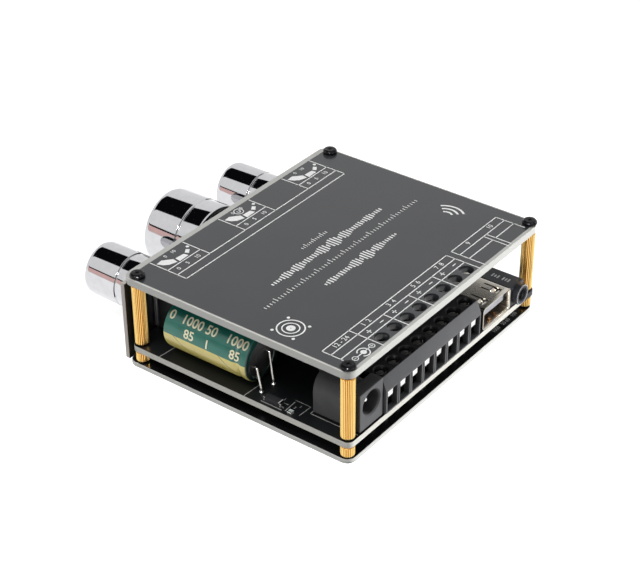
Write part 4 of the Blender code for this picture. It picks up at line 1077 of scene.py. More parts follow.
chrome = chrome_finish()
panel_face = panel_low.y
for side, x in zip(SIDES, knob_xs):
    low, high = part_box(f"{side}_knob")
    radius = (high.x - low.x) / 2
    rim, face = panel_face - high.y, panel_face - low.y
    groove, ceiling = rim + KNOB_GROOVE_AT, rim + KNOB_CAVITY
    floor = radius - GROOVE_DEPTH
    cup = [(0, face), (radius - 1.0 * mm, face, 0.3 * mm), (radius - 0.28 * mm, face - 0.55 * mm, 0.3 * mm),
           (radius, face - 1.6 * mm, 0.35 * mm),
           (radius, groove + GROOVE_MOUTH, 0.08 * mm), (floor, groove + GROOVE_FLOOR, 0.1 * mm),
           (floor, groove - GROOVE_FLOOR, 0.1 * mm), (radius, groove - GROOVE_MOUTH, 0.08 * mm),
           (radius, rim + 0.3 * mm, 0.15 * mm), (radius - 0.3 * mm, rim, 0.12 * mm),
           (radius - KNOB_WALL, rim, 0.12 * mm), (radius - KNOB_WALL, ceiling), (HUB_RADIUS, ceiling),
           (HUB_RADIUS, rim + HUB_RECESS, 0.2 * mm), (0, rim + HUB_RECESS)]
    place = (x, panel_face, knob_z)
    bm = spun(cup, KNOB_SIDES, along("-Y", place))
    shaft_tip = panel_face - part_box(f"{side}_pot_shaft")[0].y
    bore = flatted_bore(place, SHAFT_RADIUS + BORE_ROOM, SHAFT_FLAT + BORE_ROOM, rim + HUB_RECESS - 0.5 * mm,
                        shaft_tip + BORE_ROOM)
    finish_piece(f"{side}_chrome_knob", carve(bm, bore), chrome, [f"{side}_knob"],
                 f"{side}_control", sharp=28)

# %% [markdown]
# ## Behind the knobs
#
# Each potentiometer ends in a threaded bushing with a hexagon nut, and its shaft has a flat
# for the knob. Rings of V-shaped profile stand in for the thread's helix: at half a
# millimetre a turn no eye can tell them apart, and the mesh stays closed.

# %% Turn the bushings and cut the nuts
POT_PLATE, BUSHING_RADIUS, BUSHING_BORE = 1.0 * mm, 3.5 * mm, 2.7 * mm
NUT_ROUND, NUT_BORE = 0.35 * mm, 3.75 * mm
THREAD_PITCH = 0.5 * mm
THREAD_DEPTH = 0.25 * mm
zinc_finish = metal("zinc_plate", (0.50, 0.50, 0.52), 0.38, size=0.6 * mm)
shaft_finish = metal("turned_steel", (0.52, 0.52, 0.51), 0.3, streak=(0.1, 1, 0.1), size=0.2 * mm)


def threaded(radius, start, end):
    """Profile points that zigzag along a thread."""
    count = int((end - start) / THREAD_PITCH)
    root = radius - THREAD_DEPTH
    line = []
    for k in range(count):
        line += [(root, start + k * THREAD_PITCH), (radius, start + (k + 0.5) * THREAD_PITCH)]
    return line + [(root, start + count * THREAD_PITCH)]


def borer(radius, start, end, sides, place):
    """A rod that drills through from a little before one end to a little past the other."""
    start, end = start - 1 * mm, end + 1 * mm
    return spun([(0, start), (radius, start), (radius, end), (0, end)], sides, along("-Y", place))


for side, x in zip(SIDES, knob_xs):
    place = (x, panel_face, knob_z)
    low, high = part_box(f"{side}_pot_bushing")
    reach, plate_back = panel_face - low.y, panel_face - high.y
    plate_face = plate_back + POT_PLATE
    plate = blocks(((low.x, high.y - POT_PLATE, low.z), (high.x, high.y, high.z)), rounding=0.12 * mm)
    bush = [(BUSHING_BORE, plate_face - 0.2 * mm), (3.2 * mm, plate_face - 0.2 * mm)]
    bush += threaded(BUSHING_RADIUS, plate_face + 0.5 * mm, reach - 0.2 * mm)
    bush += [(3.0 * mm, reach), (BUSHING_BORE, reach)]
    bm = carve(plate, borer(BUSHING_BORE, plate_back, reach, 40, place))
    spun(bush, 48, along("-Y", place), closed=True, bm=bm)
    finish_piece(f"{side}_bushing", bm, zinc_finish, [f"{side}_pot_bushing"])

    low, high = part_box(f"{side}_pot_nut")
    front, back = panel_face - low.y, panel_face - high.y
    radius = (high.x - low.x) / 2
    nut = bmesh.new()
    bmesh.ops.create_cone(nut, cap_ends=True, segments=6, radius1=radius, radius2=radius, depth=front - back)
    bmesh.ops.bevel(nut, geom=nut.edges[:], offset=NUT_ROUND, segments=3, **EDGE_BEVEL)
    bmesh.ops.translate(nut, vec=(0, 0, (front + back) / 2), verts=nut.verts)
    bmesh.ops.transform(nut, matrix=along("-Y", place), verts=nut.verts)
    hole = borer(NUT_BORE, back, front, 48, place)
    finish_piece(f"{side}_nut", carve(nut, hole), zinc_finish, [f"{side}_pot_nut"])
    shaft_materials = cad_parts[f"{side}_pot_shaft"].data.materials
    shaft_materials.clear()
    shaft_materials.append(shaft_finish)

# %% [markdown]
# ## The power socket
#
# It is a barrel socket: a square flange faces outwards, and a round-backed body lies behind
# it. The moulding is bevelled, its bore is turned out of it, and the pin and the leaf spring
# are bright metal, because the camera looks straight into the hole.

# %% Mould the power socket
JACK_FLANGE = 3.5 * mm
JACK_BARREL = 4.2 * mm
JACK_HOLE = 3.15 * mm
JACK_HOLE_HEIGHT = 6.1 * mm
JACK_HOLE_DEPTH = 10.0 * mm
leg_tip = jack_low.z
part_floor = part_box("terminal_block")[1].z - 9.8 * mm
jack_x = (jack_low.x + jack_high.x) / 2
jack_face = jack_high.y
jack_eye = (jack_x, jack_face, part_floor + JACK_HOLE_HEIGHT)
LEG = 0.4 * mm
leg_top = part_floor + 0.2 * mm
jack_legs = [(jack_x, jack_low.y + 2 * LEG), (jack_x, (jack_low.y + jack_face) / 2),
             (jack_x - JACK_BARREL + 2 * LEG, jack_low.y + 3.5 * mm)]


def legs(bm, places, top):
    """Square solder legs that reach down through the board."""
    for x, y in places:
        block(bm, (x - LEG, y - LEG, leg_tip), (x + LEG, y + LEG, top))
    return bm


def power_socket():
    body = blocks(((jack_low.x, jack_face - JACK_FLANGE, part_floor), (jack_high.x, jack_face, jack_high.z)),
                  rounding=0.22 * mm)
    into_flange = 0.3 * mm - JACK_FLANGE
    tail = blocks(((jack_x - JACK_BARREL, jack_low.y, part_floor),
                   (jack_x + JACK_BARREL, jack_face + into_flange, jack_eye[2])), rounding=0.15 * mm)
    body = carve(body, tail, "UNION")
    length = jack_face - jack_low.y
    barrel = spun([(0, -length), (JACK_BARREL, -length, 0.3 * mm), (JACK_BARREL, into_flange),
                   (0, into_flange)], 64, along("+Y", jack_eye))
    body = carve(body, barrel, "UNION")
    hole = spun([(0, -JACK_HOLE_DEPTH), (JACK_HOLE, -JACK_HOLE_DEPTH), (JACK_HOLE, -0.35 * mm),
                 (JACK_HOLE + 0.4 * mm, 0.05 * mm), (0, 0.05 * mm)], 64, along("+Y", jack_eye))
    body = carve(body, hole)
    slot = blocks(((jack_x + JACK_HOLE - 0.8 * mm, jack_face - 10.5 * mm, jack_eye[2] - 1.0 * mm),
                   (jack_x + JACK_HOLE + 0.55 * mm, jack_face - 0.9 * mm, jack_eye[2] + 1.0 * mm)))
    return legs(carve(body, slot), jack_legs, leg_top)


moulding = plastic("moulded_nylon", (0.074, 0.075, 0.078), 0.42, shine=0.15)
finish_piece("power_socket", power_socket(), moulding, ["dc_jack_housing"])

PIN_RADIUS = 1.0 * mm
pin_low, pin_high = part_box("dc_jack_pin")
pin_tip, pin_end = pin_high.y - jack_face, pin_low.y - jack_face
pin = spun([(0, pin_tip), (0.35 * mm, pin_tip, 0.1 * mm), (PIN_RADIUS, pin_tip - 0.6 * mm, 0.3 * mm),
            (PIN_RADIUS, pin_end), (0, pin_end)], 40, along("+Y", jack_eye))
bright_tin = metal("bright_tin", (0.82, 0.82, 0.80), 0.2, size=0.3 * mm)
finish_piece("power_pin", pin, bright_tin, ["dc_jack_pin"])

spring_low, spring_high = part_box("dc_jack_spring")
SPRING_THICKNESS = 0.25 * mm


def leaf_spring():
    """A strip with a rounded inward bend, drawn up from the outline of its edge."""
    outer = spring_high.x
    inner = spring_low.x + SPRING_THICKNESS
    line = rounded_line([(outer, spring_low.y), (outer, spring_low.y + 1.9 * mm, 0.8 * mm),
                         (inner, spring_high.y - 2.9 * mm, 1.2 * mm), (outer, spring_high.y)])
    outline = line + [(x - SPRING_THICKNESS, y) for x, y in reversed(line)]
    return prism(outline, "Z", spring_low.z, spring_high.z)


finish_piece("power_spring", leaf_spring(), bright_tin, ["dc_jack_spring"])

# %% [markdown]
# ## The screw terminals
#
# One moulding carries eight poles. Its face leans back at the top, each pole has a tall wire
# window, and a screw sits in a well behind the slope. A bent tin-plated leaf hangs in each
# window, and it catches the light: those leaves are the brightest marks on the whole side.

# %% Mould the terminal block
block_low, block_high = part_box("terminal_block")
SLOPE_RUN, SLOPE_RISE = 1.3 * mm, 3.2 * mm
REAR_CHAMFER = 1.6 * mm
WINDOW_HALF = 1.95 * mm
WINDOW_SILL, WINDOW_HEIGHT, WINDOW_DEPTH = 0.5 * mm, 5.6 * mm, 7.2 * mm
WELL_RADIUS = 1.75 * mm
WELL_DEPTH = 3.1 * mm
LEAF_HALF = 1.05 * mm
window_roof = part_floor + WINDOW_SILL + WINDOW_HEIGHT
block_legs = [(spot.x, (block_low.y + block_high.y) / 2) for spot in pole_places]


def terminal_block():
    front, rear, top = block_high.y, block_low.y, block_high.z
    outline = [(rear, part_floor), (front, part_floor), (front, top - SLOPE_RISE), (front - SLOPE_RUN, top),
               (rear + REAR_CHAMFER, top), (rear, top - REAR_CHAMFER)]
    body = prism(outline, "X", block_low.x, block_high.x, rounding=0.16 * mm)
    windows = bmesh.new()
    wells = bmesh.new()
    for spot in pole_places:
        block(windows, (spot.x - WINDOW_HALF, front - WINDOW_DEPTH, part_floor + WINDOW_SILL),
              (spot.x + WINDOW_HALF, front + 0.5 * mm, window_roof))
        spun([(0, -WELL_DEPTH), (WELL_RADIUS, -WELL_DEPTH), (WELL_RADIUS, -0.2 * mm),
              (WELL_RADIUS + 0.3 * mm, 0.1 * mm), (0, 0.1 * mm)], 40, along("+Z", (spot.x, spot.y, top)),
             bm=wells)
        spun([(0, -5 * mm), (1.3 * mm, -5 * mm), (1.3 * mm, -WELL_DEPTH + 0.2 * mm),
              (0, -WELL_DEPTH + 0.2 * mm)], 24, along("+Z", (spot.x, spot.y, top)), bm=wells)
    body = carve(body, windows)
    body = carve(body, wells)
    grooves = bmesh.new()
    for left, right in zip(pole_places[1:], pole_places):
        middle = (left.x + right.x) / 2
        block(grooves, (middle - 0.12 * mm, front - 0.16 * mm, part_floor - 0.1 * mm),
              (middle + 0.12 * mm, front + 0.3 * mm, window_roof + 0.1 * mm))
    body = carve(body, grooves)
    return legs(body, block_legs, leg_top)


def block_finish():
    """The block's face keeps the moulding's charcoal grey. Its top, its windows and its wells are painted
    near-black as shade.
    """
    finish = Finish("terminal_nylon", (0.074, 0.075, 0.078), 0.42, Specular_IOR_Level=0.15)
    _, y, z = finish.xyz()
    near_face = finish.step(y, block_high.y - 1.7 * mm, block_high.y - 1.35 * mm)
    wear_and_painted_shade = near_face * (1 - finish.step(z, block_high.z - 0.12 * mm, block_high.z))
    cloud = finish.noise(2.5 * mm, detail=3.0)
    grey = finish.mix(cloud, (0.066, 0.067, 0.070), (0.090, 0.091, 0.095))
    # Away from the front face, on the top and inside the windows and wells, the colour is painted near-black:
    # painted shade.
    finish.set("Base Color", finish.mix(wear_and_painted_shade, (0.012, 0.012, 0.013), grey))
    finish.set("Roughness", cloud * 0.16 + 0.34)
    spark_grain(finish)
    return finish.material


finish_piece("terminal_moulding", terminal_block(), block_finish(), ["terminal_block"])

# %% [markdown]
# Each leaf is one bent outline drawn out sideways, then pinched towards its lower end, since
# a strip of tin-plated steel is narrower where the screw presses it. The clamp screws are
# turned like the others and get their driver slot last.

# %% Bend the clamp leaves and slot the clamp screws
LEAF_THICKNESS = 0.4 * mm
LEAF_FACE = block_high.y - 0.6 * mm
LEAF_BEND = window_roof - 2.7 * mm
LEAF_RUN = 4.6 * mm


def clamp_leaves():
    """The leaf hangs from the window's roof and turns inwards under the screw."""
    bm = bmesh.new()
    face, back = LEAF_FACE, LEAF_FACE - LEAF_RUN
    outline = [(face, window_roof), (face, LEAF_BEND, 0.5 * mm), (back, LEAF_BEND - 0.5 * mm),
               (back, LEAF_BEND - 0.1 * mm), (face - LEAF_THICKNESS, LEAF_BEND + LEAF_THICKNESS, 0.1 * mm),
               (face - LEAF_THICKNESS, window_roof)]
    for spot in pole_places:
        leaf = prism(rounded_line(outline), "X", spot.x - LEAF_HALF, spot.x + LEAF_HALF)
        for vert in leaf.verts:
            fall = min(1.0, max(0.0, (window_roof - 1.5 * mm - vert.co.z) / (1.3 * mm)))
            vert.co.x = spot.x + (vert.co.x - spot.x) * (1 - 0.3 * fall)
        merged(bm, leaf)
    return bm


leaf_finish = metal("tinned_leaf", (0.90, 0.90, 0.89), 0.24, size=0.3 * mm)
finish_piece("clamp_leaves", clamp_leaves(), leaf_finish)
screw_finish = metal("clamp_steel", (0.46, 0.45, 0.43), 0.32, size=0.25 * mm)
for k, (low, high) in enumerate(pole_boxes, 1):
    radius, height = (high.x - low.x) / 2, high.z - low.z
    place = ((low.x + high.x) / 2, (low.y + high.y) / 2, low.z)
    profile = [(0, height), (radius, height, 0.25 * mm), (radius, height - 1.7 * mm, 0.1 * mm),
               (1.0 * mm, height - 1.7 * mm), (1.0 * mm, 0.2 * mm), (0.8 * mm, 0), (0, 0)]
    bm = spun(profile, 36, along("+Z", place))
    slot = blocks(((place[0] - 2 * mm, place[1] - 0.25 * mm, high.z - 0.6 * mm),
                   (place[0] + 2 * mm, place[1] + 0.25 * mm, high.z + 1 * mm)))
    finish_piece(f"clamp_screw_{k}_slotted", carve(bm, slot), screw_finish, [f"terminal_screw_{k}"],
                 f"clamp_screw_{k}")

# %% [markdown]
# ## The circuit board
#
# The board is glass fibre under black solder mask, so its routed edge shows the core as a
# pale line. White lines box the parts, each leg ends in a cone of solder underneath, and a
# few flat parts lie on top: a diode, a lamp, two regulators and some resistors.

# %% Cut the board
board_low, board_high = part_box("main_board")
board_top = part_floor - 0.3 * mm
under = board_top - 1.6 * mm
BOARD_CORNER = 1.7 * mm
LEG_HOLE = 0.6 * mm
LUG_HOLE = 1.0 * mm
usb_x = (usb_low.x + usb_high.x) / 2
socket_x = (socket_low.x + socket_high.x) / 2

pot_legs = [(x + 2.5 * k * mm, y) for x in knob_xs for k in (-1, 0, 1) for y in (-29.65 * mm, -25.65 * mm)]
usb_legs = [(usb_x + k * 1.25 * mm, usb_low.y + 2.15 * mm) for k in (-3, -1, 1, 3)]
usb_lugs = [(usb_x + side * 6.025 * mm, 27.1 * mm) for side in (-1, 1)]
socket_legs = [(socket_x - 2.2 * mm, 29.0 * mm), (socket_x + 2.2 * mm, 29.0 * mm), (socket_x, 21.3 * mm)]
cap_legs = [(36.27 * mm, 4.55 * mm), (32.13 * mm, 4.85 * mm)]
all_legs = pot_legs + block_legs + jack_legs + usb_legs + socket_legs + cap_legs


def board_finish():
    finish = Finish("solder_mask", (0.010, 0.011, 0.012), 0.34, Specular_IOR_Level=0.25)
    weave = finish.noise(0.5 * mm, detail=2.0, stretch=(1, 0.3, 1))
    mask = finish.mix(weave, (0.006, 0.007, 0.008), (0.013, 0.014, 0.015))
    fibres = finish.noise(0.22 * mm, detail=3.0, stretch=(0.25, 0.25, 1))
    core = finish.mix(fibres, (0.40, 0.39, 0.355), (0.68, 0.67, 0.625))
    corner = (board_high.x - 0.03 * mm, board_high.y - 0.03 * mm)
    edge = beyond(finish, (-corner[0], -corner[1]), corner, BOARD_CORNER, 0.02 * mm)
    # Left of x = -33.5 mm the pale edge is painted dark: a painted shadow of the audio socket.
    edge = edge * finish.step(finish.xyz()[0], -33.8 * mm, -33.2 * mm)
    finish.set("Base Color", finish.mix(edge, mask, core))
    finish.set("Roughness", edge * 0.4 + (weave * 0.1 + 0.29))
    finish.bump(weave, 0.003 * mm, 0.3)
    return finish.material


board_holes = [(x, y, LEG_HOLE) for x, y in all_legs] + [(x, y, LUG_HOLE) for x, y in usb_lugs]
sheet = drilled_sheet((board_low.x, board_low.y, under), (board_high.x, board_high.y, board_top),
                      BOARD_CORNER, post_holes + board_holes, 0.05 * mm)
finish_piece("circuit_board", sheet, board_finish(), ["main_board"])

# %% [markdown]
# Solder wets the legs and draws up into small shiny cones. Two blobs on top hold the wires of
# the capacitor.

# %% Add the solder
solder = bmesh.new()
for x, y in all_legs + usb_lugs:
    wide = LUG_HOLE if (x, y) in usb_lugs else LEG_HOLE
    cone = [(0, 0.2 * mm), (wide - 0.06 * mm, 0.2 * mm), (wide - 0.06 * mm, 0), (wide + 0.3 * mm, 0),
            (wide * 0.85, -0.45 * mm), (wide * 0.6, -1.0 * mm), (0, -1.0 * mm)]
    spun(cone, 14, along("+Z", (x, y, under)), bm=solder)
for x, y in cap_legs:
    spun([(0, 0), (0.62 * mm, 0), (0.55 * mm, 0.12 * mm), (0.38 * mm, 0.35 * mm), (0, 0.4 * mm)], 16,
         along("+Z", (x, y, board_top)), bm=solder)
solder_finish = metal("solder", (0.50, 0.50, 0.49), 0.3, size=0.5 * mm, depth=0.006 * mm)
finish_piece("solder_cones", solder, solder_finish)


# %% [markdown]
# A surface-mounted part is a small block between two tinned ends, so one function makes the
# diode, the lamp and the resistors. The white lines round them are thin bars, as on the plate,
# because a bar keeps its crisp edge from any side and any distance.

# %% Place the flat parts and their white lines
def flat_part(bodies, ends, low, high, along_y, end_length):
    """A small moulded part with a tinned end on two sides."""
    block(bodies, low, high, 0.08 * mm)
    for side in (0, 1):
        tip_low, tip_high = Vector(low), Vector(high)
        axis = 1 if along_y else 0
        if side:
            tip_low[axis] = high[axis] - end_length
            tip_high[axis] = high[axis] + 0.02 * mm
        else:
            tip_high[axis] = low[axis] + end_length
            tip_low[axis] = low[axis] - 0.02 * mm
        other = 1 - axis
        tip_low[other] -= 0.02 * mm
        tip_high[other] += 0.02 * mm
        tip_high.z += -0.02 * mm if end_length > 0.5 * mm else 0.02 * mm
        block(ends, tip_low, tip_high, 0.05 * mm)


def box_at(x, y, wide, deep, high):
    """The corners of a box on the board."""
    return (Vector((x - wide / 2, y - deep / 2, board_top)),
            Vector((x + wide / 2, y + deep / 2, board_top + high)))


bodies, ends, lamps, silk = bmesh.new(), bmesh.new(), bmesh.new(), bmesh.new()
flat_part(bodies, ends, *box_at(37.85 * mm, 9.6 * mm, 1.76 * mm, 5.2 * mm, 1.18 * mm), True, 0.45 * mm)
flat_part(lamps, ends, *box_at(38.75 * mm, 15.2 * mm, 1.5 * mm, 1.15 * mm, 0.74 * mm), False, 0.3 * mm)
for x, y, wide, deep in ((9.6, -20.2, 1.9, 1.2), (-9.0, -20.2, 1.9, 1.2), (-19.85, 14.5, 1.2, 1.9),
                         (-22.85, 14.5, 1.2, 1.9)):
    flat_part(bodies, ends, *box_at(x * mm, y * mm, wide * mm, deep * mm, 0.62 * mm), deep > wide, 0.35 * mm)
for x in (15.6 * mm, -15.0 * mm):
    y = -20.2 * mm
    block(bodies, (x - 1.9 * mm, y - 1.5 * mm, board_top + 0.1 * mm),
          (x + 1.9 * mm, y + 1.5 * mm, board_top + 1.4 * mm), 0.14 * mm)
    block(ends, (x - 1.1 * mm, y + 1.4 * mm, board_top), (x + 1.1 * mm, y + 2.2 * mm, board_top + 0.3 * mm),
          0.06 * mm)
    for k in (-1, 0, 1):
        block(ends, (x + (1.4 * k - 0.3) * mm, y - 2.2 * mm, board_top),
              (x + (1.4 * k + 0.3) * mm, y - 1.4 * mm, board_top + 0.3 * mm), 0.06 * mm)

SILK = 0.16 * mm
for x0, y0, x1, y1 in ((39.9, -23.9, 33.0, -23.3), (39.9, 2.3, 34.6, 2.6), (39.15, 6.7, 39.15, 12.7),
                       (36.6, 6.7, 36.6, 12.7), (38.9, 13.6, 34.9, 13.4), (38.4, 17.3, 34.2, 17.5),
                       (35.1, 10.9, 37.2, 11.2), (37.2, 11.2, 38.3, 12.6), (36.2, 18.9, 36.2, 32.2),
                       (35.2, 18.9, 36.2, 18.9), (34.2, 13.2, 34.2, 17.2), (-24.4, 12.9, -18.3, 12.9),
                       (-24.4, 16.1, -18.3, 16.1), (-24.4, 12.9, -24.4, 16.1), (-18.3, 12.9, -18.3, 16.1),
                       (18.6, -23.4, 18.6, -17.0), (12.6, -23.4, 12.6, -17.0), (-12.0, -23.4, -12.0, -17.0),
                       (-18.0, -23.4, -18.0, -17.0), (-36.6, -15.0, -36.6, 3.4), (-24.4, -15.0, -24.4, 3.4)):
    stroke(silk, (x0 * mm, y0 * mm), (x1 * mm, y1 * mm), SILK, board_top - 0.01 * mm, board_top + 0.015 * mm)
for text, x, y, size in (("1", 35.6, 15.6, 1.3), ("2", 36.6, 14.7, 1.1), ("3", -26.6, 14.5, 1.3)):
    matrix = Matrix.Translation((x * mm, y * mm, board_top)) @ Matrix.Rotation(math.pi / 2, 4, "Z")
    digits(silk, text, size * mm, matrix, 0.03 * mm)
diode_top = board_top + 1.18 * mm
stroke(silk, (37.1 * mm, 11.5 * mm), (38.6 * mm, 11.5 * mm), 0.3 * mm, diode_top - 0.02 * mm,
       diode_top + 0.01 * mm)

finish_piece("flat_parts", bodies, black_plastic)
finish_piece("flat_part_ends", ends, bright_tin)
finish_piece("board_print", silk, ink("board_ink", (0.50, 0.50, 0.48)))

lens = Finish("lamp_lens", (0.62, 0.64, 0.58), 0.3, Subsurface_Weight=0.25)
lens_cloud = lens.noise(0.5 * mm, detail=2.0)
lens.set("Base Color", lens.mix(lens_cloud, (0.52, 0.54, 0.47), (0.72, 0.74, 0.67)))
lens.set("Roughness", lens_cloud * 0.1 + 0.25)
finish_piece("board_lamp", lamps, lens.material)

# %% [markdown]
# ## The USB socket
#
# Its shell is folded from bright sheet steel. The mouth flares a little, the roof has two
# spring tabs in square openings, and each tab dips and turns up again at its tip. That curve
# catches the light. Inside sits a grey tongue with copper contacts on its underside.

# %% Fold the shell
SHELL_WALL = 0.35 * mm
SHELL_HALF = 6.2 * mm
SHELL_RISE = 6.3 * mm
SHELL_CORNER = 0.8 * mm
TAB_HALF, TAB_GAP, TAB_OFFSET = 0.8 * mm, 0.45 * mm, 3.1 * mm
TAB_FRONT, TAB_REAR = usb_high.y - 1.4 * mm, usb_high.y - 6.5 * mm
TAB_THICKNESS = 0.3 * mm
shell_roof = part_floor + SHELL_RISE


def shell_ring(y, grow):
    """A round-cornered outline of the shell at one depth, drawn larger or smaller."""
    low_z, high_z = part_floor + max(0.0, -grow), shell_roof + grow
    half, corner = SHELL_HALF + grow, max(0.15 * mm, SHELL_CORNER + grow)
    ring = []
    for side_x, side_z, start in ((1, 1, 0), (-1, 1, 90), (-1, -1, 180), (1, -1, 270)):
        x = usb_x + side_x * (half - corner)
        z = (high_z - corner) if side_z > 0 else (low_z + corner)
        for step in range(6):
            angle = math.radians(start + 18 * step)
            ring.append((x + corner * math.cos(angle), y, z + corner * math.sin(angle)))
    return ring


def lofted(rings):
    """Joins rings of equally many points into one closed skin."""
    bm = bmesh.new()
    loops = [[bm.verts.new(point) for point in ring] for ring in rings]
    count = len(loops[0])
    for near, far in zip(loops, loops[1:]):
        for k in range(count):
            bm.faces.new((near[k], near[(k + 1) % count], far[(k + 1) % count], far[k]))
    for loop in (loops[0], loops[-1]):
        bm.faces.new(loop)
    return bm


def usb_shell():
    mouth, rear = usb_high.y, usb_low.y
    outside = [shell_ring(rear, -0.12 * mm), shell_ring(rear + 0.12 * mm, 0.0)]
    flare = [shell_ring(mouth - back * mm, grow * mm)
             for back, grow in ((1.1, 0.0), (0.4, 0.04), (0.06, 0.12), (0.0, 0.06), (0.0, -0.10),
                                (0.06, -0.18), (0.3, -0.32))]
    inside = [shell_ring(mouth - 1.1 * mm, -SHELL_WALL), shell_ring(rear + SHELL_WALL, -SHELL_WALL)]
    shell = lofted(outside + flare + inside)
    openings = bmesh.new()
    for side in (-1, 1):
        middle = usb_x + side * TAB_OFFSET
        block(openings, (middle - TAB_HALF - TAB_GAP, TAB_REAR, shell_roof - 0.8 * mm),
              (middle + TAB_HALF + TAB_GAP, TAB_FRONT, shell_roof + 0.5 * mm))
    shell = carve(shell, openings)
    for side in (-1, 1):
        middle = usb_x + side * TAB_OFFSET
        line = rounded_line([(TAB_REAR - 0.3 * mm, shell_roof - 0.02 * mm),
                             (TAB_FRONT - 2.3 * mm, shell_roof - 0.02 * mm, 0.25 * mm),
                             (TAB_FRONT - 1.4 * mm, shell_roof - 0.75 * mm, 0.3 * mm),
                             (TAB_FRONT - 0.7 * mm, shell_roof - 0.15 * mm, 0.25 * mm),
                             (TAB_FRONT - 0.35 * mm, shell_roof - 0.5 * mm)], 5)
        outline = line + [(y, z - TAB_THICKNESS) for y, z in reversed(line)]
        merged(shell, prism(outline, "X", middle - TAB_HALF, middle + TAB_HALF, 0.05 * mm, 1))
    for x, y in usb_lugs:
        block(shell, (x - SHELL_WALL / 2, y - 0.9 * mm, leg_tip),
              (x + SHELL_WALL / 2, y + 0.9 * mm, part_floor + 1.2 * mm), 0.05 * mm)
    return shell


shell_steel = metal("shell_steel", (0.60, 0.565, 0.50), 0.24, streak=(1, 0.08, 1), size=0.2 * mm)
finish_piece("usb_steel_shell", usb_shell(), shell_steel, ["usb_shell"], sharp=40)

# %% [markdown]
# The tongue is a moulded block with a thin shelf, and the four contacts lie in a row under the
# shelf. They are strips too, so they take the same way as the spring tabs: a rounded line, a
# thickness, and a flat outline drawn out sideways.

# %% Mould the tongue and bend its contacts
insert_low, insert_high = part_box("usb_insert")
TONGUE_HALF, TONGUE_THICKNESS = 5.2 * mm, 2.5 * mm
CONTACT_THICKNESS = 0.18 * mm
tongue_top = shell_roof - SHELL_WALL - 0.7 * mm
base_front = insert_low.y + 3.0 * mm


def tongue():
    body = blocks(((usb_x - 4.75 * mm, insert_low.y, part_floor + 0.65 * mm),
                   (usb_x + 4.75 * mm, base_front, insert_high.z)), rounding=0.1 * mm)
    block(body, (usb_x - TONGUE_HALF, base_front - 0.2 * mm, tongue_top - TONGUE_THICKNESS),
          (usb_x + TONGUE_HALF, insert_high.y, tongue_top), 0.25 * mm, 3)
    return body


def contacts():
    """Four strips that hang below the tongue and curve up into its front end."""
    bm = bmesh.new()
    under_tongue = tongue_top - TONGUE_THICKNESS
    line = rounded_line([(insert_low.y + 0.6 * mm, under_tongue - 0.05 * mm),
                         (base_front + 2.2 * mm, under_tongue - 0.1 * mm, 0.6 * mm),
                         (insert_high.y - 2.2 * mm, under_tongue - 0.75 * mm, 0.8 * mm),
                         (insert_high.y - 0.5 * mm, under_tongue - 0.02 * mm)], 5)
    outline = line + [(y, z + CONTACT_THICKNESS) for y, z in reversed(line)]
    for x, y in usb_legs:
        merged(bm, prism(outline, "X", x - 0.5 * mm, x + 0.5 * mm))
        block(bm, (x - LEG, y - LEG, leg_tip), (x + LEG, y + LEG, part_floor + 0.9 * mm))
    return bm


grey_nylon = plastic("pale_nylon", (0.27, 0.27, 0.29), 0.42)
finish_piece("usb_tongue", tongue(), grey_nylon, ["usb_insert"])
copper = metal("copper_contact", (0.88, 0.50, 0.30), 0.22, size=0.3 * mm)
finish_piece("usb_contacts", contacts(), copper)

# %% [markdown]
# ## The audio socket
#
# A slate-black box with a short round nozzle. A plated ring lines the nozzle's edge, and a
# plated sleeve shows inside the bore. Two groups of small pale strokes are printed on the roof.

# %% Mould the audio socket
BORE = 1.8 * mm
NOZZLE = 2.75 * mm
nozzle_eye = (socket_x, socket_high.y - 1.6 * mm, part_floor + 3.0 * mm)


def audio_socket():
    front = nozzle_eye[1]
    body = blocks(((socket_low.x, socket_low.y, part_floor), (socket_high.x, front, part_floor + 5.6 * mm)),
                  rounding=0.3 * mm)
    nozzle = spun([(0, -0.3 * mm), (NOZZLE, -0.3 * mm), (NOZZLE, 1.6 * mm, 0.25 * mm), (0, 1.6 * mm)], 48,
                  along("+Y", nozzle_eye))
    body = carve(body, nozzle, "UNION")
    bore = spun([(0, -10.2 * mm), (BORE, -10.2 * mm), (BORE, 1.35 * mm), (BORE + 0.3 * mm, 1.8 * mm),
                 (0, 1.8 * mm)], 40, along("+Y", nozzle_eye))
    return legs(carve(body, bore), socket_legs, leg_top)


slate_plastic = plastic("slate_nylon", (0.036, 0.039, 0.047), 0.36)
finish_piece("audio_socket", audio_socket(), slate_plastic, ["audio_jack"])

plating = spun([(BORE - 0.2 * mm, -6.0 * mm), (BORE - 0.02 * mm, -6.0 * mm), (BORE - 0.02 * mm, 0.9 * mm),
                (BORE - 0.2 * mm, 0.9 * mm)], 40, along("+Y", nozzle_eye), closed=True)
spun([(NOZZLE - 0.42 * mm, 1.3 * mm), (NOZZLE - 0.12 * mm, 1.3 * mm), (NOZZLE - 0.12 * mm, 1.595 * mm),
      (NOZZLE - 0.42 * mm, 1.595 * mm)], 48, along("+Y", nozzle_eye), closed=True, bm=plating)
finish_piece("audio_plating", plating, bright_tin)

roof_marks = bmesh.new()
for middle in (26.4 * mm, 29.5 * mm):
    for k in (-1, 0, 1):
        y = middle + 0.8 * mm * k
        tall = (0.5 if k else 0.36) * mm
        stroke(roof_marks, (socket_x + 0.05 * mm - tall, y), (socket_x + 0.05 * mm + tall, y), 0.42 * mm,
               part_floor + 5.58 * mm, part_floor + 5.62 * mm)
finish_piece("audio_print", roof_marks, ink("socket_ink", (0.85, 0.88, 0.92)))

# %% [markdown]
# ## The capacitor
#
# A shrunk sleeve covers an aluminium can: teal, with a sand-coloured stripe along its negative
# side, crossed by thin slanting lines, and rows of pale gold figures that repeat, as the sleeve
# is cut from a long tube. The sleeve curls over both rims. Behind the crimp sits a dark rubber seal, and two
# tinned wires bend from it down to the board.

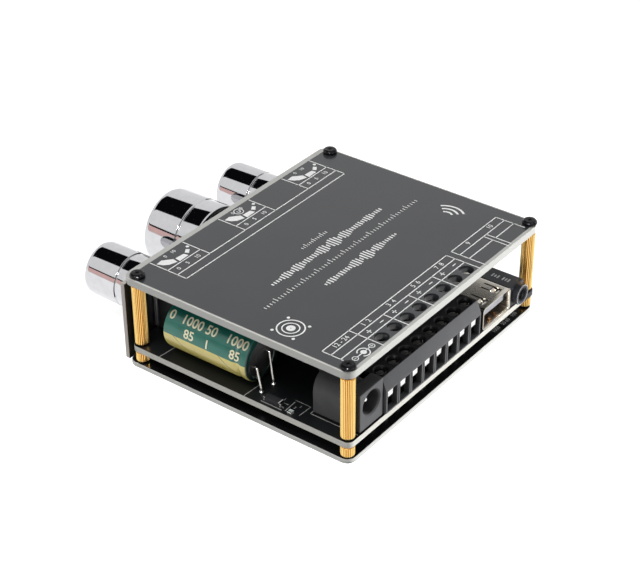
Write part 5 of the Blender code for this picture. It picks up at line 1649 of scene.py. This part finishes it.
# %% Spin the can and colour its sleeve
can_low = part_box("power_capacitor")[0]
CAN_RADIUS = 6.4 * mm
CAN_LENGTH = 25.6 * mm
CRIMP_AT = 2.8 * mm
SLEEVE_REPEAT = 13.9 * mm
STRIPE_START, STRIPE_END = (-66.0, -64.5), (3.5, 4.6)    # degrees round the can
LINE_SLANT = 0.155 * mm    # along the can for each degree
LINE_OFFSET = 0.2065       # share of a repeat
can_axis = (can_low.x + CAN_RADIUS, can_low.y, part_floor + CAN_RADIUS)
can_rear = can_low.y + CAN_LENGTH


def sleeve_finish():
    finish = Finish("capacitor_sleeve", (0.012, 0.15, 0.105), 0.3, Coat_Weight=0.35, Coat_Roughness=0.10)
    x, y, z = finish.xyz(centre=can_axis)
    angle = z.do("ARCTAN2", x) * (180 / math.pi)
    stripe = finish.step(angle, *STRIPE_START) * (1 - finish.step(angle, *STRIPE_END))
    turn = (y + angle * LINE_SLANT) / SLEEVE_REPEAT + LINE_OFFSET
    phase = turn.do("FRACT")
    dash = finish.step(abs(phase - 0.5), 0.006, 0.012)
    sheen = finish.noise(3.5 * mm, detail=2.0)
    teal = finish.mix(sheen, (0.004, 0.115, 0.085), (0.010, 0.190, 0.140))
    sand = finish.mix(sheen, (0.68, 0.57, 0.16), (0.80, 0.69, 0.22))
    marked = finish.mix(dash, (0.03, 0.05, 0.03), sand)
    # The sleeve's rear face, where it curls over the rim, is painted near-black: painted shade.
    rear_face_shade = finish.step(y, can_rear - can_low.y - 0.45 * mm, can_rear - can_low.y - 0.2 * mm)
    finish.set("Base Color", finish.mix(rear_face_shade, finish.mix(stripe, teal, marked), (0.003, 0.020, 0.016)))
    finish.set("Roughness", sheen * 0.12 + 0.24)
    finish.bump(finish.noise(1.8 * mm, detail=2.0, stretch=(1, 0.25, 1)), 0.02 * mm, 0.35)
    return finish.material


crimp = CAN_LENGTH - CRIMP_AT
can_profile = [(0, CAN_LENGTH - 0.45 * mm), (4.6 * mm, CAN_LENGTH - 0.45 * mm),
               (4.75 * mm, CAN_LENGTH - 0.05 * mm, 0.1 * mm), (5.0 * mm, CAN_LENGTH, 0.1 * mm),
               (CAN_RADIUS, CAN_LENGTH, 0.9 * mm),
               (CAN_RADIUS, crimp + 1.0 * mm, 0.5 * mm), (CAN_RADIUS - 0.5 * mm, crimp, 0.6 * mm),
               (CAN_RADIUS, crimp - 1.0 * mm, 0.5 * mm), (CAN_RADIUS, 0, 0.9 * mm), (4.9 * mm, 0, 0.1 * mm),
               (4.75 * mm, 0.3 * mm), (0, 0.3 * mm)]
can = spun(can_profile, 96, along("+Y", can_axis))
finish_piece("capacitor_sleeve", can, sleeve_finish(), ["power_capacitor"])

seal_place = (can_axis[0], can_rear, can_axis[2])
seal = spun([(0, -0.6 * mm), (4.7 * mm, -0.6 * mm), (4.7 * mm, -0.3 * mm, 0.1 * mm), (2.2 * mm, -0.3 * mm),
             (2.0 * mm, -0.15 * mm), (0, -0.15 * mm)], 48, along("+Y", seal_place))
rubber = plastic("seal_rubber", (0.022, 0.021, 0.021), 0.6)
finish_piece("capacitor_seal", seal, rubber)

# %% [markdown]
# Print on a round can follows its curve. Flat figures have too few points to bend, so they are
# first sliced into strips a third of a millimetre high. Then each point's height becomes an
# angle round the can's axis, and the figures stand a hundredth of a millimetre off the sleeve.

# %% Print the figures round the can
DIGIT_HEIGHT_SHARE = 0.70
WRAP_STEP = 0.3 * mm


def wrapped_figures(bm, text, size, centre_y, centre_angle):
    """Figures cut into fine strips, then bent round the can."""
    flat = bmesh.new()
    digits(flat, text, size, Matrix.Identity(4), 0.05 * mm, bold=0.018)
    for k in range(-6, 7):
        bmesh.ops.bisect_plane(flat, geom=flat.verts[:] + flat.edges[:] + flat.faces[:], dist=1e-8,
                               plane_co=(0, k * WRAP_STEP, 0), plane_no=(0, 1, 0))
    for vert in flat.verts:
        angle = math.radians(centre_angle) + vert.co.y / CAN_RADIUS
        reach = CAN_RADIUS + 0.01 * mm + vert.co.z
        vert.co = (can_axis[0] + reach * math.cos(angle), centre_y + vert.co.x,
                   can_axis[2] + reach * math.sin(angle))
    merged(bm, flat)


BIG_FIGURES, SMALL_FIGURES = 2.3 * mm / DIGIT_HEIGHT_SHARE, 2.2 * mm / DIGIT_HEIGHT_SHARE
first_start = -19.1 * mm
second_start = first_start + SLEEVE_REPEAT
sleeve_print = bmesh.new()
for figure, size, y, angle in (("1000 50", BIG_FIGURES, first_start + 5.75 * mm, 48.0),
                               ("85", SMALL_FIGURES, first_start + 3.7 * mm, 19.0),
                               ("1000", BIG_FIGURES, second_start + 3.3 * mm, 48.0),
                               ("85", SMALL_FIGURES, second_start + 3.7 * mm, 19.0),
                               ("1", SMALL_FIGURES, -9.9 * mm, 16.0), ("0", BIG_FIGURES, -21.6 * mm, 48.0)):
    wrapped_figures(sleeve_print, figure, size, y, angle)
gold_ink = ink("gold_ink", (1.0, 0.93, 0.66))
finish_piece("capacitor_figures", sleeve_print, gold_ink)

# %% [markdown]
# The two wires leave the seal straight, lean towards their holes and end below the board. Each
# is swept as rings of points along a route whose corners have become short curves. The rings
# turn as little as they can from one to the next, so that the wire doesn't twist.

# %% Bend the capacitor's wires
WIRE_RADIUS = 0.32 * mm


def swept(points, radius, sides=14):
    """A round wire along a line, with a ring of points at each bend."""
    rings, side = [], Vector((1, 0, 0))
    turns = [math.tau * j / sides for j in range(sides)]
    for k, here in enumerate(points):
        before, after = points[max(k - 1, 0)], points[min(k + 1, len(points) - 1)]
        aim = (after - before).normalized()
        side = (side - aim * side.dot(aim)).normalized()
        up = aim.cross(side)
        rings.append([here + radius * (side * math.cos(turn) + up * math.sin(turn)) for turn in turns])
    return lofted(rings)


def smooth_route(corners, rounding, steps=5):
    """The corners of a route in space, with short curves in their place."""
    route = [corners[0]]
    for before, here, after in zip(corners, corners[1:], corners[2:]):
        route += short_curve(before, here, after, rounding, steps)
    return route + [corners[-1]]


wires = bmesh.new()
for (x, y), (seal_x, seal_z) in zip(cap_legs, ((35.50, 11.60), (30.80, 13.80))):
    corners = [Vector((seal_x * mm, can_rear - 0.5 * mm, seal_z * mm)),
               Vector((seal_x * mm, can_rear + 0.7 * mm, seal_z * mm)),
               Vector((x, y, board_top + 0.9 * mm)), Vector((x, y, leg_tip))]
    merged(wires, swept(smooth_route(corners, 0.35 * mm), WIRE_RADIUS))
lead_finish = metal("tinned_wire", (0.62, 0.60, 0.57), 0.25, size=0.3 * mm)
finish_piece("capacitor_wires", wires, lead_finish)

# %% [markdown]
# ## Pieces under the plate
#
# The rest shows only from the side or from below, but it is finished all the same: the
# potentiometers' boxes, a black heatsink over two chips, four shielded inductors and a
# small radio module under a plated can.

# %% Finish the potentiometers and the heatsink
for side in SIDES:
    low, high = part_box(f"{side}_pot_housing")
    x = (low.x + high.x) / 2
    housing = blocks(((low.x, low.y, part_floor), (high.x, high.y, high.z)), rounding=0.25 * mm)
    seam = blocks(((low.x - 0.5 * mm, low.y + 3.0 * mm, high.z - 0.5 * mm),
                   (high.x + 0.5 * mm, low.y + 3.4 * mm, high.z + 1 * mm)))
    own_legs = [spot for spot in pot_legs if abs(spot[0] - x) < 4 * mm]
    finish_piece(f"{side}_pot_box", legs(carve(housing, seam), own_legs, leg_top), black_plastic,
                 [f"{side}_pot_housing"])

sink_low, sink_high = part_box("heatsink")
SINK_BASE, FINS, FIN = 2.5 * mm, 9, 1.3 * mm
sink = blocks((sink_low, (sink_high.x, sink_high.y, sink_low.z + SINK_BASE)), rounding=0.12 * mm)
fin_pitch = (sink_high.x - sink_low.x - FIN) / (FINS - 1)
for k in range(FINS):
    left = sink_low.x + k * fin_pitch
    block(sink, (left, sink_low.y, sink_low.z + 0.2 * mm), (left + FIN, sink_high.y, sink_high.z), 0.15 * mm)


def anodised_finish():
    finish = Finish("black_anodising", (0.022, 0.022, 0.024), 0.42, metallic=0.8)
    drawn = finish.noise(0.12 * mm, detail=3.0, stretch=(1, 0.03, 1))
    finish.set("Base Color", finish.mix(drawn, (0.016, 0.016, 0.018), (0.034, 0.034, 0.037)))
    finish.set("Roughness", drawn * 0.2 + 0.3)
    finish.bump(drawn, 0.003 * mm, 0.4)
    return finish.material


finish_piece("finned_heatsink", sink, anodised_finish(), ["heatsink"])

# %% [markdown]
# The chips are moulded blocks over a row of flat pins. An inductor is a square ferrite block
# with a round lid, and its value is printed on the lid. The module is a small blue board of
# its own, with a folded shield, a row of solder tags on each side and an aerial that winds
# across its free end.

# %% Finish the chips, the inductors and the radio module
CHIP_HALF, CHIP_PINS, CHIP_PITCH = 3.1 * mm, 8, 11.0 / 8 * mm
for k in (1, 2):
    low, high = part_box(f"amplifier_chip_{k}")
    middle = (low + high) / 2
    body = blocks(((low.x, middle.y - CHIP_HALF, low.z), (high.x, middle.y + CHIP_HALF, high.z)),
                  rounding=0.12 * mm)
    pins = bmesh.new()
    for j in range(CHIP_PINS):
        x = middle.x + (j - (CHIP_PINS - 1) / 2) * CHIP_PITCH
        block(pins, (x - 0.34 * mm, low.y, low.z + 0.12 * mm), (x + 0.34 * mm, high.y, low.z + 0.47 * mm),
              0.05 * mm)
    finish_piece(f"chip_body_{k}", body, black_plastic, [f"amplifier_chip_{k}"])
    finish_piece(f"chip_pins_{k}", pins, bright_tin)

ferrite = plastic("ferrite_block", (0.050, 0.050, 0.053), 0.6, blotch=1.2 * mm)
inductor_marks = bmesh.new()
for k in range(1, 5):
    low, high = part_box(f"inductor_{k}")
    middle = (low + high) / 2
    core = drilled_sheet(low, (high.x, high.y, high.z - 0.6 * mm), 1.4 * mm, [], 0.15 * mm)
    spun([(0, -0.8 * mm), (3.0 * mm, -0.8 * mm), (3.0 * mm, 0, 0.3 * mm), (0, 0)], 48,
         along("+Z", (middle.x, middle.y, high.z - 0.02 * mm)), bm=core)
    finish_piece(f"inductor_core_{k}", core, ferrite, [f"inductor_{k}"])
    place = Matrix.Translation((middle.x, middle.y, high.z - 0.02 * mm))
    digits(inductor_marks, "100", 2.2 * mm, place, 0.02 * mm)
finish_piece("inductor_print", inductor_marks, ink("inductor_ink", (0.5, 0.5, 0.48)))

module_low, module_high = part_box("wireless_module")
module_x = (module_low.x + module_high.x) / 2
carrier_top = module_low.z + 0.9 * mm
carrier = drilled_sheet(module_low, (module_high.x, module_high.y, carrier_top), 0.4 * mm, [], 0.05 * mm)
mask = Finish("module_mask", (0.012, 0.030, 0.075), 0.35)
mask_cloud = mask.noise(0.8 * mm, detail=2.0)
mask.set("Base Color", mask.mix(mask_cloud, (0.009, 0.022, 0.058), (0.014, 0.034, 0.085)))
mask.set("Roughness", mask_cloud * 0.1 + 0.3)
finish_piece("module_board", carrier, mask.material, ["wireless_module"])

shield = blocks(((module_low.x + 0.8 * mm, module_low.y + 0.8 * mm, module_low.z + 0.8 * mm),
                 (module_high.x - 0.8 * mm, module_high.y - 4.3 * mm, module_high.z)), rounding=0.25 * mm)
for k in range(12):
    y = module_low.y + (0.9 + 1.0 * k) * mm
    for side in (-1, 1):
        x = module_x + side * 5.2 * mm
        block(shield, (x - 0.28 * mm, y - 0.3 * mm, module_low.z),
              (x + 0.28 * mm, y + 0.3 * mm, module_low.z + 0.93 * mm), 0.04 * mm)
finish_piece("module_can", shield, zinc_finish)

AERIAL_STEP, AERIAL_TRACK = 2.0 * mm, 0.4 * mm
aerial = bmesh.new()
near, far = module_high.y - 3.6 * mm, module_high.y - 0.9 * mm
track = (AERIAL_TRACK, carrier_top - 0.01 * mm, carrier_top + 0.03 * mm)
for k in range(5):
    x = module_x - 4.4 * mm + k * AERIAL_STEP
    stroke(aerial, (x, near), (x, far), *track)
    if k < 4:
        y = far if k % 2 == 0 else near
        stroke(aerial, (x, y), (x + AERIAL_STEP, y), *track)
finish_piece("module_aerial", aerial, copper)
